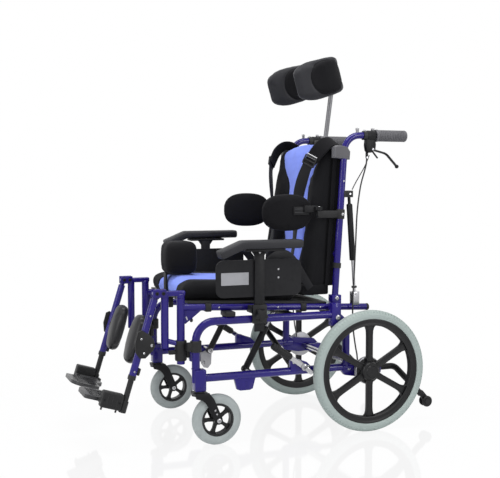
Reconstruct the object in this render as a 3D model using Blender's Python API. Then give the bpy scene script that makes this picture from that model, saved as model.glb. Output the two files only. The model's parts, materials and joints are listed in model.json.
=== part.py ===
"""Tilt-in-space wheelchair with reclining back, swing-away leg rests and a winged headrest.

Lengths are in metres. Every piece is drawn with y measured from the rear axle and z from the
floor, the chair faces -Y and its left side is +X. AXLE_Y then moves all pieces so that the
bounding box is centred in Y.
"""
import bpy
import bmesh
from math import cos, exp, pi, radians, sin, sqrt
from mathutils import Matrix, Vector

AXLE_Y = 0.3176
CLEARANCE = 0.0003

# Base frame
RAIL_X = 0.2450
FRAME_TUBE_RADIUS = 0.0125
FRONT_TUBE_Y = -0.5840
REAR_POST_Y = -0.0680
UPPER_RAIL_Z = 0.3870
LOWER_RAIL_Z = 0.2120
LOWER_RAIL_FRONT_Y = -0.5600
LOWER_RAIL_REAR_Y = -0.0440
FRONT_BEND_RADIUS = 0.0600
CROSS_TUBE_Y = -0.2500
CROSS_TUBE_RADIUS = 0.0110

# Wheels
WHEEL_X = 0.2800
WHEEL_RADIUS = 0.2000
TYRE_WIDTH = 0.0340
RIM_RADIUS = 0.1725
RIM_INNER_RADIUS = 0.1510
RIM_WIDTH = 0.0240
WHEEL_SPOKES = 6
WHEEL_SPOKE_WIDTH = 0.0240
HUB_RADIUS = 0.0290
DRUM_RADIUS = 0.0450
AXLE_Z = 0.2000
AXLE_RADIUS = 0.0080
WHEEL_SEGMENTS = 28

# Casters
SWIVEL_Y = -0.5730
HOUSING_SIZE = 0.0360
HOUSING_BOTTOM_Z = 0.1733
HOUSING_TOP_Z = 0.2410
STEM_RADIUS = 0.0080
CASTER_Y = -0.5170
CASTER_RADIUS = 0.0800
CASTER_WIDTH = 0.0300
CASTER_RIM_RADIUS = 0.0530
CASTER_PIN_RADIUS = 0.0045
CASTER_SPOKES = 5
CASTER_CROWN_Z = 0.1640
STEM_TOP_Z = 0.2280

# Anti-tippers and parking brakes
ANTI_TIP_RADIUS = 0.0105
ANTI_TIP_FRONT_Y = 0.0130
ANTI_TIP_Z = 0.1945
ROLLER_Y = 0.2585
ROLLER_Z = 0.0630
ROLLER_RADIUS = 0.0190
ROLLER_HUB_RADIUS = 0.0070
BRAKE_Y = -0.2290
BRAKE_Z = 0.2270
BRAKE_PIN_RADIUS = 0.0045
BRAKE_PIN_X = 0.2580
BRAKE_GRIP_X = 0.2710
BRAKE_OUTER_X = 0.2770

# Tilt of the seat on the base
TILT_PIVOT_Y = -0.1046
TILT_PIVOT_Z = 0.3780
PIVOT_PIN_RADIUS = 0.0060
STRUT_X = 0.1786
STRUT_LOW_Y = -0.3960
STRUT_LOW_Z = 0.2160
STRUT_HIGH_Y = -0.2940
STRUT_HIGH_Z = 0.4040
STRUT_RADIUS = 0.0105
STRUT_ROD_RADIUS = 0.0060
STRUT_BODY_LENGTH = 0.1530

# Seat frame
SEAT_X = 0.2125
SEAT_TUBE_RADIUS = 0.0110
SEAT_FRONT_Y = -0.6220
HANGER_Y = SEAT_FRONT_Y - 0.0510
SEAT_REAR_Y = 0.0270
SEAT_RAIL_Z = 0.4028
SEAT_SLOPE = -0.0458
RECEIVER_RADIUS = 0.0125
RECEIVER_BOTTOM_Z = 0.2545
RECEIVER_TOP_Z = 0.4599
PAN_THICKNESS = 0.0060
PAN_HALF_WIDTH = 0.2165
PAN_FRONT_Y = -0.6000
PAN_REAR_Y = -0.1250

# Back frame
CANE_TUBE_RADIUS = 0.0110
HINGE_Y = -0.0929
HINGE_Z = 0.4370
HINGE_PIN_RADIUS = 0.0050
CANE_SLOPE = 0.0652
HANDLE_Z = 0.9700
HANDLE_BEND_RADIUS = 0.0550
HANDLE_END_Y = 0.1550
GRIP_RADIUS = 0.0190
GRIP_FRONT_Y = 0.0560
GRIP_REAR_Y = 0.1680
GAS_LOW_Y = -0.0202
GAS_LOW_Z = 0.4470
GAS_HIGH_Y = -0.0440
GAS_HIGH_Z = 0.7780
GAS_BODY_RADIUS = 0.0100
GAS_ROD_RADIUS = 0.0050
GAS_BODY_START = 0.1120
GAS_BODY_END = 0.3000
GAS_PIN_RADIUS = 0.0040
LOW_BAR_Z = 0.5800
HIGH_BAR_Z = 0.9250
CUSHION_SEAT = 0.0115
LATERAL_Y = -0.1500
LATERAL_Z = 0.7120
LATERAL_PIN_RADIUS = 0.0040
LATERAL_CLAMP_RADIUS = 0.0145
LATERAL_PAD_X = 0.1820
LATERAL_PAD_FRONT_Y = -0.3360
LATERAL_PAD_REAR_Y = -0.1700
LATERAL_PAD_HALF_LENGTH = (LATERAL_PAD_REAR_Y - LATERAL_PAD_FRONT_Y) / 2
HEAD_BAR_Y = -0.0355
HEAD_BAR_Z = 0.9000
HEAD_BAR_SLOPE = 0.1334
HEAD_BAR_RADIUS = 0.0080
HEAD_PIVOT_Z = 1.1650
HEAD_PIN_RADIUS = 0.0040
LEVER_Y = 0.0400
LEVER_Z = 0.9250
LEVER_PIN_RADIUS = 0.0030
CABLE_RADIUS = 0.0025

# Leg rests
KNEE_Y = -0.7000
KNEE_Z = 0.4774
KNEE_PIN_RADIUS = 0.0050
LEG_LEAN_Y = 0.2924
LEG_LEAN_Z = 0.9563
LEG_TUBE_RADIUS = 0.0115
LEG_TUBE_END = 0.2710
LEG_INNER_RADIUS = 0.0090
LEG_BLOCK_START = 0.3200
LEG_BLOCK_END = 0.3720
FOOT_PLATE_DOWN = 0.3500
FOOT_PLATE_THICKNESS = 0.0080
FOOT_PLATE_INNER_X = 0.0280
FOOT_HINGE_X = 0.1810
FOOT_PLATE_LENGTH = 0.1190
FOOT_PLATE_NOTCH = 0.0280
FOOT_AXIS_DOWN = 0.3540
FOOT_PIN_RADIUS = 0.0035
CALF_DOWN = 0.1570
CALF_FORWARD = -0.0030
CALF_X = 0.1250
CALF_HALF_WIDTH = 0.0480
CALF_HALF_DEPTH = 0.0190
CALF_HALF_HEIGHT = 0.0810
CALF_PIN_RADIUS = 0.0050
CALF_PIN_REACH = 0.0300

# Arm rests
POST_INNER_X = 0.2595
POST_THICKNESS = 0.0090
POST_FRONT_Y = -0.3980
POST_REAR_Y = -0.3650
POST_TOP_Z = 0.6040
POST_BOTTOM_Z = 0.3500
ARM_PAD_INNER_X = 0.2700
ARM_PAD_OUTER_X = 0.3200
ARM_PAD_TOP_Z = 0.6390
ARM_PAD_THICKNESS = 0.0280
SOCKET_INNER_X = 0.2581
SOCKET_OUTER_X = 0.2722
PANEL_INNER_X = 0.2541
PANEL_THICKNESS = 0.0050

# Cushions
SEAT_CUSHION_HALF_WIDTH = 0.1960
SEAT_CUSHION_FRONT_Y = -0.6150
SEAT_CUSHION_REAR_Y = -0.2120
SEAT_CUSHION_HEIGHT = 0.0540
STEM_HALF_WIDTH = 0.0125
STEM_FRONT_Y = -0.6120
STEM_REAR_Y = -0.6060
STEM_BOTTOM_Z = 0.3850
STEM_TOP_Z = 0.5500
SOCKET_HALF_WIDTH = 0.0200
SOCKET_BOTTOM_Z = 0.4050
SOCKET_TOP_Z = 0.4450
POMMEL_HALF_WIDTH = 0.0500
POMMEL_HALF_DEPTH = 0.0500
POMMEL_HALF_HEIGHT = 0.0545
POMMEL_Y = -0.5630
POMMEL_Z = 0.5680
CUSHION_ROUNDING = 0.0200
BACK_CUSHION_HALF_WIDTH = 0.1950
BACK_CUSHION_BOTTOM_Z = 0.4700
BACK_CUSHION_TOP_Z = 0.9300
HEADREST_HALF_WIDTH = 0.1100
HEADREST_CORNER = 0.0500
HEADREST_TIP_Y = -0.1950
HEADREST_THICKNESS = 0.0350
HEADREST_HEIGHT = 0.1300
HEADREST_LOBE = 0.0280
HEADREST_LEAN = 16.0
HEADREST_Y = -0.0420
HEADREST_Z = 1.1900
SEAT_PANEL_HALF_WIDTH = 0.1000
BACK_PANEL_LOW = 0.0600
BACK_PANEL_HIGH = 0.1600
BACK_PANEL_DEPTH = 0.0440
BACK_BOLSTER_LOW = 0.0990
BACK_BOLSTER_HIGH = 0.0500


def add_object(name, mesh):
    obj = bpy.data.objects.new(name, mesh)
    bpy.context.scene.collection.objects.link(obj)
    return obj


def solid(bm, name="piece"):
    """Turn a bmesh into an object with merged points and outward faces."""
    bmesh.ops.remove_doubles(bm, verts=bm.verts, dist=1e-6)
    bmesh.ops.recalc_face_normals(bm, faces=bm.faces)
    mesh = bpy.data.meshes.new(name)
    bm.to_mesh(mesh)
    bm.free()
    return add_object(name, mesh)


def box(x_range, y_range, z_range, soft=0.0):
    """Block between three ranges, its edges bevelled by soft."""
    bm = bmesh.new()
    bmesh.ops.create_cube(bm, size=1.0)
    size = [high - low for low, high in (x_range, y_range, z_range)]
    middle = [(high + low) / 2 for low, high in (x_range, y_range, z_range)]
    bmesh.ops.scale(bm, verts=bm.verts, vec=size)
    bmesh.ops.translate(bm, verts=bm.verts, vec=middle)
    if soft:
        bmesh.ops.bevel(bm, geom=bm.edges[:], offset=soft, segments=1, affect="EDGES")
    return solid(bm)


def prism(outline, low, high, soft=0.0):
    """Extrude an outline of (y, z) points along X from low to high."""
    bm = bmesh.new()
    face = bm.faces.new([bm.verts.new((low, y, z)) for y, z in outline])
    made = bmesh.ops.extrude_face_region(bm, geom=[face])
    moved = [item for item in made["geom"] if isinstance(item, bmesh.types.BMVert)]
    bmesh.ops.translate(bm, verts=moved, vec=(high - low, 0.0, 0.0))
    if soft:
        rims = [edge for edge in bm.edges if abs(edge.verts[0].co.x - edge.verts[1].co.x) < 1e-6]
        bmesh.ops.bevel(bm, geom=rims, offset=soft, segments=1, affect="EDGES")
    return solid(bm)


def turned(profile, centre, axis, segments=12, ring=False):
    """Revolve (distance along the axis, radius) points; a ring profile closes on itself."""
    bm = bmesh.new()
    points = [bm.verts.new((radius, 0.0, along)) for along, radius in profile]
    edges = [bm.edges.new(pair) for pair in zip(points, points[1:])]
    if ring:
        edges.append(bm.edges.new((points[-1], points[0])))
    bmesh.ops.spin(bm, geom=points + edges, cent=(0, 0, 0), axis=(0, 0, 1),
                   angle=2 * pi, steps=segments, use_merge=True)
    turn = Vector((0, 0, 1)).rotation_difference(Vector(axis)).to_matrix().to_4x4()
    bmesh.ops.transform(bm, matrix=Matrix.Translation(centre) @ turn, verts=bm.verts)
    return solid(bm)


def rod(start, end, radius, sides=10):
    """Straight round bar between two points."""
    start, end = Vector(start), Vector(end)
    length = (end - start).length
    return turned([(0, 0), (0, radius), (length, radius), (length, 0)], start, end - start, sides)


def bore(start, end, radius, sides=10):
    """Cutter whose flats stay CLEARANCE outside a bar of this radius."""
    return rod(start, end, (radius + CLEARANCE) / cos(pi / sides), sides)


def rounded(path, bend, steps=5):
    """Replace the inner corners of a path with arcs of the bend radius."""
    points = [Vector(point) for point in path]
    result = [points[0]]
    for before, corner, after in zip(points, points[1:], points[2:]):
        back = (before - corner).normalized()
        on = (after - corner).normalized()
        half = back.angle(on) / 2
        reach = bend / (sin(half) / cos(half))
        centre = corner + (back + on).normalized() * bend / sin(half)
        first = corner + back * reach - centre
        last = corner + on * reach - centre
        sweep = first.angle(last)
        normal = first.cross(last).normalized()
        for step in range(steps + 1):
            turn = Matrix.Rotation(sweep * step / steps, 3, normal)
            result.append(centre + turn @ first)
    result.append(points[-1])
    return result


def tube(path, radius, bend=0.0, resolution=2, steps=4):
    """Bent round bar swept along a path."""
    curve = bpy.data.curves.new("path", "CURVE")
    curve.dimensions = "3D"
    curve.bevel_depth = radius
    curve.bevel_resolution = resolution
    curve.use_fill_caps = True
    points = rounded(path, bend, steps) if bend else [Vector(point) for point in path]
    spline = curve.splines.new("POLY")
    spline.points.add(len(points) - 1)
    for target, point in zip(spline.points, points):
        target.co = (*point, 1.0)
    carrier = add_object("path", curve)
    bm = bmesh.new()
    mesh = bpy.data.meshes.new_from_object(carrier)
    bm.from_mesh(mesh)
    bpy.data.objects.remove(carrier)
    bpy.data.curves.remove(curve)
    bpy.data.meshes.remove(mesh)
    return solid(bm)


def boolean(body, other, operation):
    modifier = body.modifiers.new("Boolean", "BOOLEAN")
    modifier.operation = operation
    modifier.solver = "EXACT"
    modifier.object = other
    with bpy.context.temp_override(object=body, active_object=body):
        bpy.ops.object.modifier_apply(modifier=modifier.name)
    bpy.data.objects.remove(other)
    bm = bmesh.new()
    bm.from_mesh(body.data)
    bmesh.ops.remove_doubles(bm, verts=bm.verts, dist=2e-6)
    bmesh.ops.dissolve_degenerate(bm, edges=bm.edges, dist=2e-6)
    bm.to_mesh(body.data)
    bm.free()


def fuse(body, *others):
    for other in others:
        boolean(body, other, "UNION")
    return body


def carve(body, *cutters):
    for cutter in cutters:
        boolean(body, cutter, "DIFFERENCE")
    return body


def steps_between(half, radius, cells, fine):
    """Grid positions across a rounded block, closer together at its edges."""
    flat = half - radius
    inner = [-flat + 2 * flat * step / cells for step in range(cells + 1)]
    edge = [half - 0.3 * radius] if fine else []
    return [-half] + [-value for value in edge] + inner + edge + [half]


def soft_block(half_sizes, radius, cells, shape, fine=False):
    """Rounded padded block; shape moves each point to give the crown and the channels."""
    grids = [steps_between(half, radius, count, fine) for half, count in zip(half_sizes, cells)]
    bm = bmesh.new()
    found = {}

    def point(indexes):
        if indexes not in found:
            corner = Vector([grid[index] for grid, index in zip(grids, indexes)])
            inner = Vector([max(-half + radius, min(half - radius, value))
                            for half, value in zip(half_sizes, corner)])
            outward = corner - inner
            if outward.length > 1e-9:
                corner = inner + outward.normalized() * radius
            found[indexes] = bm.verts.new(shape(corner))
        return found[indexes]

    for fixed in range(3):
        first, second = [axis for axis in range(3) if axis != fixed]
        for end in (0, len(grids[fixed]) - 1):
            for a in range(len(grids[first]) - 1):
                for b in range(len(grids[second]) - 1):
                    corners = []
                    for step_a, step_b in ((0, 0), (1, 0), (1, 1), (0, 1)):
                        indexes = [0, 0, 0]
                        indexes[fixed] = end
                        indexes[first] = a + step_a
                        indexes[second] = b + step_b
                        corners.append(point(tuple(indexes)))
                    bm.faces.new(corners)
    return solid(bm)


LOOKS = {
    "frame_blue": ((0.022, 0.010, 0.220), 0.30, 0.35),
    "black_metal": ((0.014, 0.014, 0.016), 0.45, 0.30),
    "black_plastic": ((0.020, 0.020, 0.022), 0.50, 0.0),
    "silver": ((0.55, 0.55, 0.57), 0.30, 1.0),
    "tyre_grey": ((0.50, 0.56, 0.54), 0.75, 0.0),
    "blue_cloth": ((0.110, 0.110, 0.700), 0.85, 0.0),
    "black_cloth": ((0.012, 0.012, 0.013), 0.90, 0.0),
    "arm_foam": ((0.045, 0.045, 0.050), 0.60, 0.0),
}


def look(name):
    """Material with a look's colour, roughness and metallic value."""
    if name in bpy.data.materials:
        return bpy.data.materials[name]
    colour, roughness, metallic = LOOKS[name]
    material = bpy.data.materials.new(name)
    material.use_nodes = True
    shader = material.node_tree.nodes["Principled BSDF"]
    shader.inputs["Base Color"].default_value = (*colour, 1.0)
    shader.inputs["Roughness"].default_value = roughness
    shader.inputs["Metallic"].default_value = metallic
    return material


def finish(name, obj, look_name, pivot=(0.0, 0.0, 0.0)):
    """Name a piece, put its origin on its pivot, move it to the shared frame and shade it."""
    obj.name = name
    obj.data.name = name
    obj.data.transform(Matrix.Translation(-Vector(pivot)))
    obj.location = Vector(pivot) + Vector((0.0, AXLE_Y, 0.0))
    obj.data.materials.clear()
    obj.data.materials.append(look(look_name))
    obj.data.shade_smooth()
    obj.data.set_sharp_from_angle(angle=radians(35.0))
    return obj


def both_sides(name, left, look_name, pivot=(0.0, 0.0, 0.0)):
    """Keep a piece as the left one and add its mirror image on the right."""
    mesh = left.data.copy()
    mesh.transform(Matrix.Scale(-1.0, 4, (1.0, 0.0, 0.0)))
    mesh.flip_normals()
    across = (-pivot[0], pivot[1], pivot[2])
    finish(name + "_R", add_object(name, mesh), look_name, across)
    return finish(name + "_L", left, look_name, pivot)


for startup in list(bpy.data.objects):
    bpy.data.objects.remove(startup)


# Base frame

def make_side_frame():
    tube_path = [(RAIL_X, FRONT_TUBE_Y, 0.200), (RAIL_X, FRONT_TUBE_Y, UPPER_RAIL_Z),
                 (RAIL_X, REAR_POST_Y, UPPER_RAIL_Z), (RAIL_X, REAR_POST_Y, LOWER_RAIL_Z)]
    frame = tube(tube_path, FRAME_TUBE_RADIUS, bend=FRONT_BEND_RADIUS)
    lower_rail = tube([(RAIL_X, LOWER_RAIL_FRONT_Y, LOWER_RAIL_Z),
                       (RAIL_X, LOWER_RAIL_REAR_Y, LOWER_RAIL_Z)], FRAME_TUBE_RADIUS)
    half = HOUSING_SIZE / 2
    housing = box((RAIL_X - half, RAIL_X + half), (SWIVEL_Y - half, SWIVEL_Y + half),
                  (HOUSING_BOTTOM_Z, HOUSING_TOP_Z), soft=0.003)
    clamp = rod((RAIL_X, FRONT_TUBE_Y, 0.295), (RAIL_X, FRONT_TUBE_Y, 0.330), 0.0170)
    strut_lug = box((RAIL_X - 0.007, RAIL_X + 0.007), (-0.4616, -0.3860), (0.1640, 0.2120))
    strut_pin = turned([(0, 0), (0, 0.0100), (0.0480, 0.0100), (0.0480, PIVOT_PIN_RADIUS),
                        (0.0710, PIVOT_PIN_RADIUS), (0.0710, 0)],
                       (RAIL_X - 0.005, STRUT_LOW_Y, STRUT_LOW_Z), (-1, 0, 0), 12)
    gusset = prism([(-0.270, LOWER_RAIL_Z), (-0.270, 0.252), (-0.262, 0.257), (-0.214, 0.240),
                    (-0.198, 0.224), (-0.193, LOWER_RAIL_Z)], RAIL_X - 0.004, BRAKE_PIN_X)
    brake_pin = rod((RAIL_X, BRAKE_Y, BRAKE_Z), (BRAKE_OUTER_X, BRAKE_Y, BRAKE_Z), BRAKE_PIN_RADIUS)
    axle_plate = prism([(-0.090, 0.205), (-0.075, 0.186), (-0.020, 0.176), (0.040, 0.178),
                        (0.058, 0.186), (0.060, 0.206), (0.045, 0.222), (-0.044, 0.232),
                        (-0.075, 0.236)], RAIL_X - 0.009, RAIL_X + 0.009)
    anti_tip_socket = box((SEAT_X - 0.0145, RAIL_X), (ANTI_TIP_FRONT_Y - 0.003, 0.058),
                          (ANTI_TIP_Z - 0.0145, ANTI_TIP_Z + 0.0145))
    pivot_block = box((RAIL_X - 0.0148, RAIL_X + 0.0148), (-0.1255, -0.0924), (0.3505, 0.4244),
                      soft=0.003)
    pivot_pin = rod((RAIL_X, TILT_PIVOT_Y, TILT_PIVOT_Z),
                    (SEAT_X - 0.0090, TILT_PIVOT_Y, TILT_PIVOT_Z), PIVOT_PIN_RADIUS)
    fuse(frame, lower_rail, housing, clamp, strut_lug, strut_pin, gusset, brake_pin, axle_plate,
         anti_tip_socket, pivot_block, pivot_pin)
    stem_bore = bore((RAIL_X, SWIVEL_Y, HOUSING_BOTTOM_Z - 0.01), (RAIL_X, SWIVEL_Y, STEM_TOP_Z + 0.002),
                     STEM_RADIUS)
    axle_bore = bore((RAIL_X - 0.05, 0.0, AXLE_Z), (RAIL_X + 0.02, 0.0, AXLE_Z), AXLE_RADIUS)
    tip_bore = bore((SEAT_X, ANTI_TIP_FRONT_Y, ANTI_TIP_Z), (SEAT_X, 0.070, ANTI_TIP_Z),
                    ANTI_TIP_RADIUS)
    carve(frame, stem_bore, axle_bore, tip_bore)
    return frame


def make_cross_frame():
    """Upper cross tube with one diagonal brace down to the left lower rail."""
    inner = RAIL_X - FRAME_TUBE_RADIUS - CLEARANCE
    frame = tube([(-inner, CROSS_TUBE_Y, UPPER_RAIL_Z), (inner, CROSS_TUBE_Y, UPPER_RAIL_Z)],
                 CROSS_TUBE_RADIUS)
    brace = tube([(-inner + 0.035, CROSS_TUBE_Y, UPPER_RAIL_Z), (inner - 0.012, CROSS_TUBE_Y, 0.221)],
                 0.0095)
    foot = box((inner - 0.022, inner), (CROSS_TUBE_Y - 0.012, CROSS_TUBE_Y + 0.012),
               (LOWER_RAIL_Z - 0.010, LOWER_RAIL_Z + 0.020))
    fuse(frame, brace, foot)
    return frame


def make_rear_axle():
    reach = WHEEL_X + 0.006
    return turned([(-reach, 0), (-reach, AXLE_RADIUS), (reach, AXLE_RADIUS), (reach, 0)],
                  (0, 0, AXLE_Z), (1, 0, 0))


# Wheels

def spokes(count, inner, outer, width, depth, centre, first_angle):
    """Flat spokes that run outwards in the wheel's plane."""
    pieces = []
    for number in range(count):
        angle = first_angle + 2 * pi * number / count
        spoke = box((-depth / 2, depth / 2), (-width / 2, width / 2), (inner, outer))
        spoke.data.transform(Matrix.Translation(centre) @ Matrix.Rotation(angle, 4, "X"))
        pieces.append(spoke)
    return pieces


def make_rear_wheel():
    half = RIM_WIDTH / 2
    centre = (WHEEL_X, 0.0, AXLE_Z)
    wheel = turned([(-half, RIM_INNER_RADIUS), (-half, RIM_RADIUS), (half, RIM_RADIUS),
                    (half, RIM_INNER_RADIUS)],
                   centre, (1, 0, 0), WHEEL_SEGMENTS, ring=True)
    hub = turned([(-0.0235, 0), (-0.0235, DRUM_RADIUS - 0.004), (-0.0200, DRUM_RADIUS),
                  (-0.0070, DRUM_RADIUS), (-0.0050, HUB_RADIUS), (0.0140, HUB_RADIUS),
                  (0.0190, HUB_RADIUS - 0.006), (0.0190, 0)], centre, (1, 0, 0), 16)
    fuse(wheel, *spokes(WHEEL_SPOKES, 0.020, RIM_INNER_RADIUS + 0.006, WHEEL_SPOKE_WIDTH, 0.014,
                        centre, 0.0))
    fuse(wheel, hub)
    axle_bore = bore((WHEEL_X - 0.05, 0.0, AXLE_Z), (WHEEL_X + 0.0075, 0.0, AXLE_Z), AXLE_RADIUS)
    return carve(wheel, axle_bore)


def make_rear_tyre():
    half = TYRE_WIDTH / 2
    seat = RIM_RADIUS + CLEARANCE / cos(pi / WHEEL_SEGMENTS)
    return turned([(-half + 0.003, seat), (-half, 0.1850), (-half + 0.006, 0.1970), (0, WHEEL_RADIUS),
                   (half - 0.006, 0.1970), (half, 0.1850), (half - 0.003, seat)],
                  (WHEEL_X, 0.0, AXLE_Z), (1, 0, 0), WHEEL_SEGMENTS, ring=True)


def make_caster_fork():
    fork = turned([(0, 0), (0, 0.0180), (0.0060, 0.0180), (0.0060, 0.0130), (0.0090, 0.0130),
                   (0.0090, STEM_RADIUS), (STEM_TOP_Z - CASTER_CROWN_Z, STEM_RADIUS),
                   (STEM_TOP_Z - CASTER_CROWN_Z, 0)],
                  (RAIL_X, SWIVEL_Y, CASTER_CROWN_Z), (0, 0, 1), 12)
    crown = box((RAIL_X - 0.0245, RAIL_X + 0.0245), (-0.5935, -0.5485), (0.1615, 0.1685))
    outline = [(-0.5940, 0.1690), (-0.5480, 0.1690), (-0.5330, 0.1500), (-0.5060, 0.0880),
               (-0.5040, 0.0760), (-0.5100, 0.0680), (-0.5240, 0.0680), (-0.5300, 0.0760),
               (-0.5560, 0.1340), (-0.5900, 0.1520)]
    outer_arm = prism(outline, RAIL_X + 0.0190, RAIL_X + 0.0250)
    inner_arm = prism(outline, RAIL_X - 0.0250, RAIL_X - 0.0190)
    pin = rod((RAIL_X - 0.0270, CASTER_Y, CASTER_RADIUS), (RAIL_X + 0.0270, CASTER_Y, CASTER_RADIUS),
              CASTER_PIN_RADIUS)
    return fuse(fork, crown, outer_arm, inner_arm, pin)


def make_caster_wheel():
    centre = (RAIL_X, CASTER_Y, CASTER_RADIUS)
    half = CASTER_WIDTH / 2
    wheel = turned([(-half + 0.003, CASTER_RIM_RADIUS - 0.007), (-half, 0.0650), (-0.0090, 0.0770),
                    (0, CASTER_RADIUS), (0.0090, 0.0770), (half, 0.0650),
                    (half - 0.003, CASTER_RIM_RADIUS - 0.007)],
                   centre, (1, 0, 0), 20, ring=True)
    hub = turned([(-0.0180, 0), (-0.0180, 0.0140), (0.0180, 0.0140), (0.0180, 0)], centre, (1, 0, 0))
    fuse(wheel, *spokes(CASTER_SPOKES, 0.008, CASTER_RIM_RADIUS, 0.0120, 0.0120, centre, 0.0))
    fuse(wheel, hub)
    axle_bore = bore((RAIL_X - 0.03, CASTER_Y, CASTER_RADIUS), (RAIL_X + 0.03, CASTER_Y, CASTER_RADIUS),
                     CASTER_PIN_RADIUS)
    return carve(wheel, axle_bore)


def make_anti_tip_tube():
    path = [(SEAT_X, ANTI_TIP_FRONT_Y + CLEARANCE, ANTI_TIP_Z), (SEAT_X, 0.1330, ANTI_TIP_Z),
            (SEAT_X, ROLLER_Y - 0.006, ROLLER_Z + 0.006)]
    leg = tube(path, ANTI_TIP_RADIUS, bend=0.040)
    eye = rod((SEAT_X - 0.0065, ROLLER_Y, ROLLER_Z), (SEAT_X + 0.0065, ROLLER_Y, ROLLER_Z), 0.0120)
    trim_low = box((SEAT_X - 0.0200, SEAT_X - 0.0065), (ROLLER_Y - 0.030, ROLLER_Y + 0.030),
                   (ROLLER_Z - 0.030, ROLLER_Z + 0.0225))
    trim_high = box((SEAT_X + 0.0065, SEAT_X + 0.0200), (ROLLER_Y - 0.030, ROLLER_Y + 0.030),
                    (ROLLER_Z - 0.030, ROLLER_Z + 0.0225))
    fuse(leg, eye)
    hub_bore = bore((SEAT_X - 0.02, ROLLER_Y, ROLLER_Z), (SEAT_X + 0.02, ROLLER_Y, ROLLER_Z),
                    ROLLER_HUB_RADIUS)
    return carve(leg, trim_low, trim_high, hub_bore)


def make_anti_tip_roller():
    inner = 0.0065 + CLEARANCE
    return turned([(-inner - 0.0080, 0), (-inner - 0.0080, 0.0165), (-inner - 0.0050, ROLLER_RADIUS),
                   (-inner, ROLLER_RADIUS), (-inner, ROLLER_HUB_RADIUS), (inner, ROLLER_HUB_RADIUS),
                   (inner, ROLLER_RADIUS), (inner + 0.0050, ROLLER_RADIUS), (inner + 0.0080, 0.0165),
                   (inner + 0.0080, 0)],
                  (SEAT_X, ROLLER_Y, ROLLER_Z), (1, 0, 0))


def make_parking_brake():
    """Over-centre lever: its cam toe meets the tyre when the grip is pushed forward."""
    lever = rod((BRAKE_PIN_X + CLEARANCE, BRAKE_Y, BRAKE_Z), (BRAKE_OUTER_X, BRAKE_Y, BRAKE_Z), 0.0100)
    arm = tube([(BRAKE_GRIP_X, BRAKE_Y, BRAKE_Z), (BRAKE_GRIP_X, -0.2760, 0.2610)], 0.0060)
    grip = turned([(0, 0), (0, 0.0085), (0.006, 0.0110), (0.070, 0.0115), (0.078, 0.0080), (0.078, 0)],
                  (BRAKE_GRIP_X, -0.2760, 0.2610), (0, -0.0650, 0.0430), 12)
    toe = prism([(BRAKE_Y - 0.004, BRAKE_Z - 0.004), (BRAKE_Y + 0.007, BRAKE_Z + 0.002),
                 (BRAKE_Y + 0.0235, BRAKE_Z - 0.0125), (BRAKE_Y + 0.0220, BRAKE_Z - 0.0201),
                 (BRAKE_Y + 0.0165, BRAKE_Z - 0.0235)], BRAKE_GRIP_X - 0.006, BRAKE_GRIP_X + 0.018, 0.001)
    fuse(lever, arm, grip, toe)
    pin_bore = bore((BRAKE_PIN_X - 0.01, BRAKE_Y, BRAKE_Z), (BRAKE_OUTER_X + 0.01, BRAKE_Y, BRAKE_Z),
                    BRAKE_PIN_RADIUS)
    return carve(lever, pin_bore)


# Tilt struts

def strut_point(along):
    """Point at a distance up the tilt strut's axis."""
    rise = Vector((0.0, STRUT_HIGH_Y - STRUT_LOW_Y, STRUT_HIGH_Z - STRUT_LOW_Z))
    return Vector((STRUT_X, STRUT_LOW_Y, STRUT_LOW_Z)) + rise.normalized() * along


STRUT_LENGTH = sqrt((STRUT_HIGH_Y - STRUT_LOW_Y) ** 2 + (STRUT_HIGH_Z - STRUT_LOW_Z) ** 2)


def make_tilt_cylinder():
    eye = rod((STRUT_X - 0.0080, STRUT_LOW_Y, STRUT_LOW_Z), (STRUT_X + 0.0080, STRUT_LOW_Y, STRUT_LOW_Z),
              0.0120)
    body = rod(strut_point(0.008), strut_point(STRUT_BODY_LENGTH), STRUT_RADIUS)
    fuse(body, eye)
    rod_bore = bore(strut_point(0.030), strut_point(STRUT_BODY_LENGTH + 0.01), STRUT_ROD_RADIUS)
    pin_bore = bore((STRUT_X - 0.02, STRUT_LOW_Y, STRUT_LOW_Z), (STRUT_X + 0.02, STRUT_LOW_Y, STRUT_LOW_Z),
                    PIVOT_PIN_RADIUS)
    return carve(body, rod_bore, pin_bore)


def make_tilt_rod():
    eye = rod((STRUT_X - 0.0050, STRUT_HIGH_Y, STRUT_HIGH_Z), (STRUT_X + 0.0050, STRUT_HIGH_Y, STRUT_HIGH_Z),
              0.0090)
    stem = rod(strut_point(0.035), strut_point(STRUT_LENGTH - 0.002), STRUT_ROD_RADIUS)
    return fuse(stem, eye)


# Seat frame

def rail_z(y):
    """Height of the seat rail's centre line."""
    return SEAT_RAIL_Z + SEAT_SLOPE * y


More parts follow.
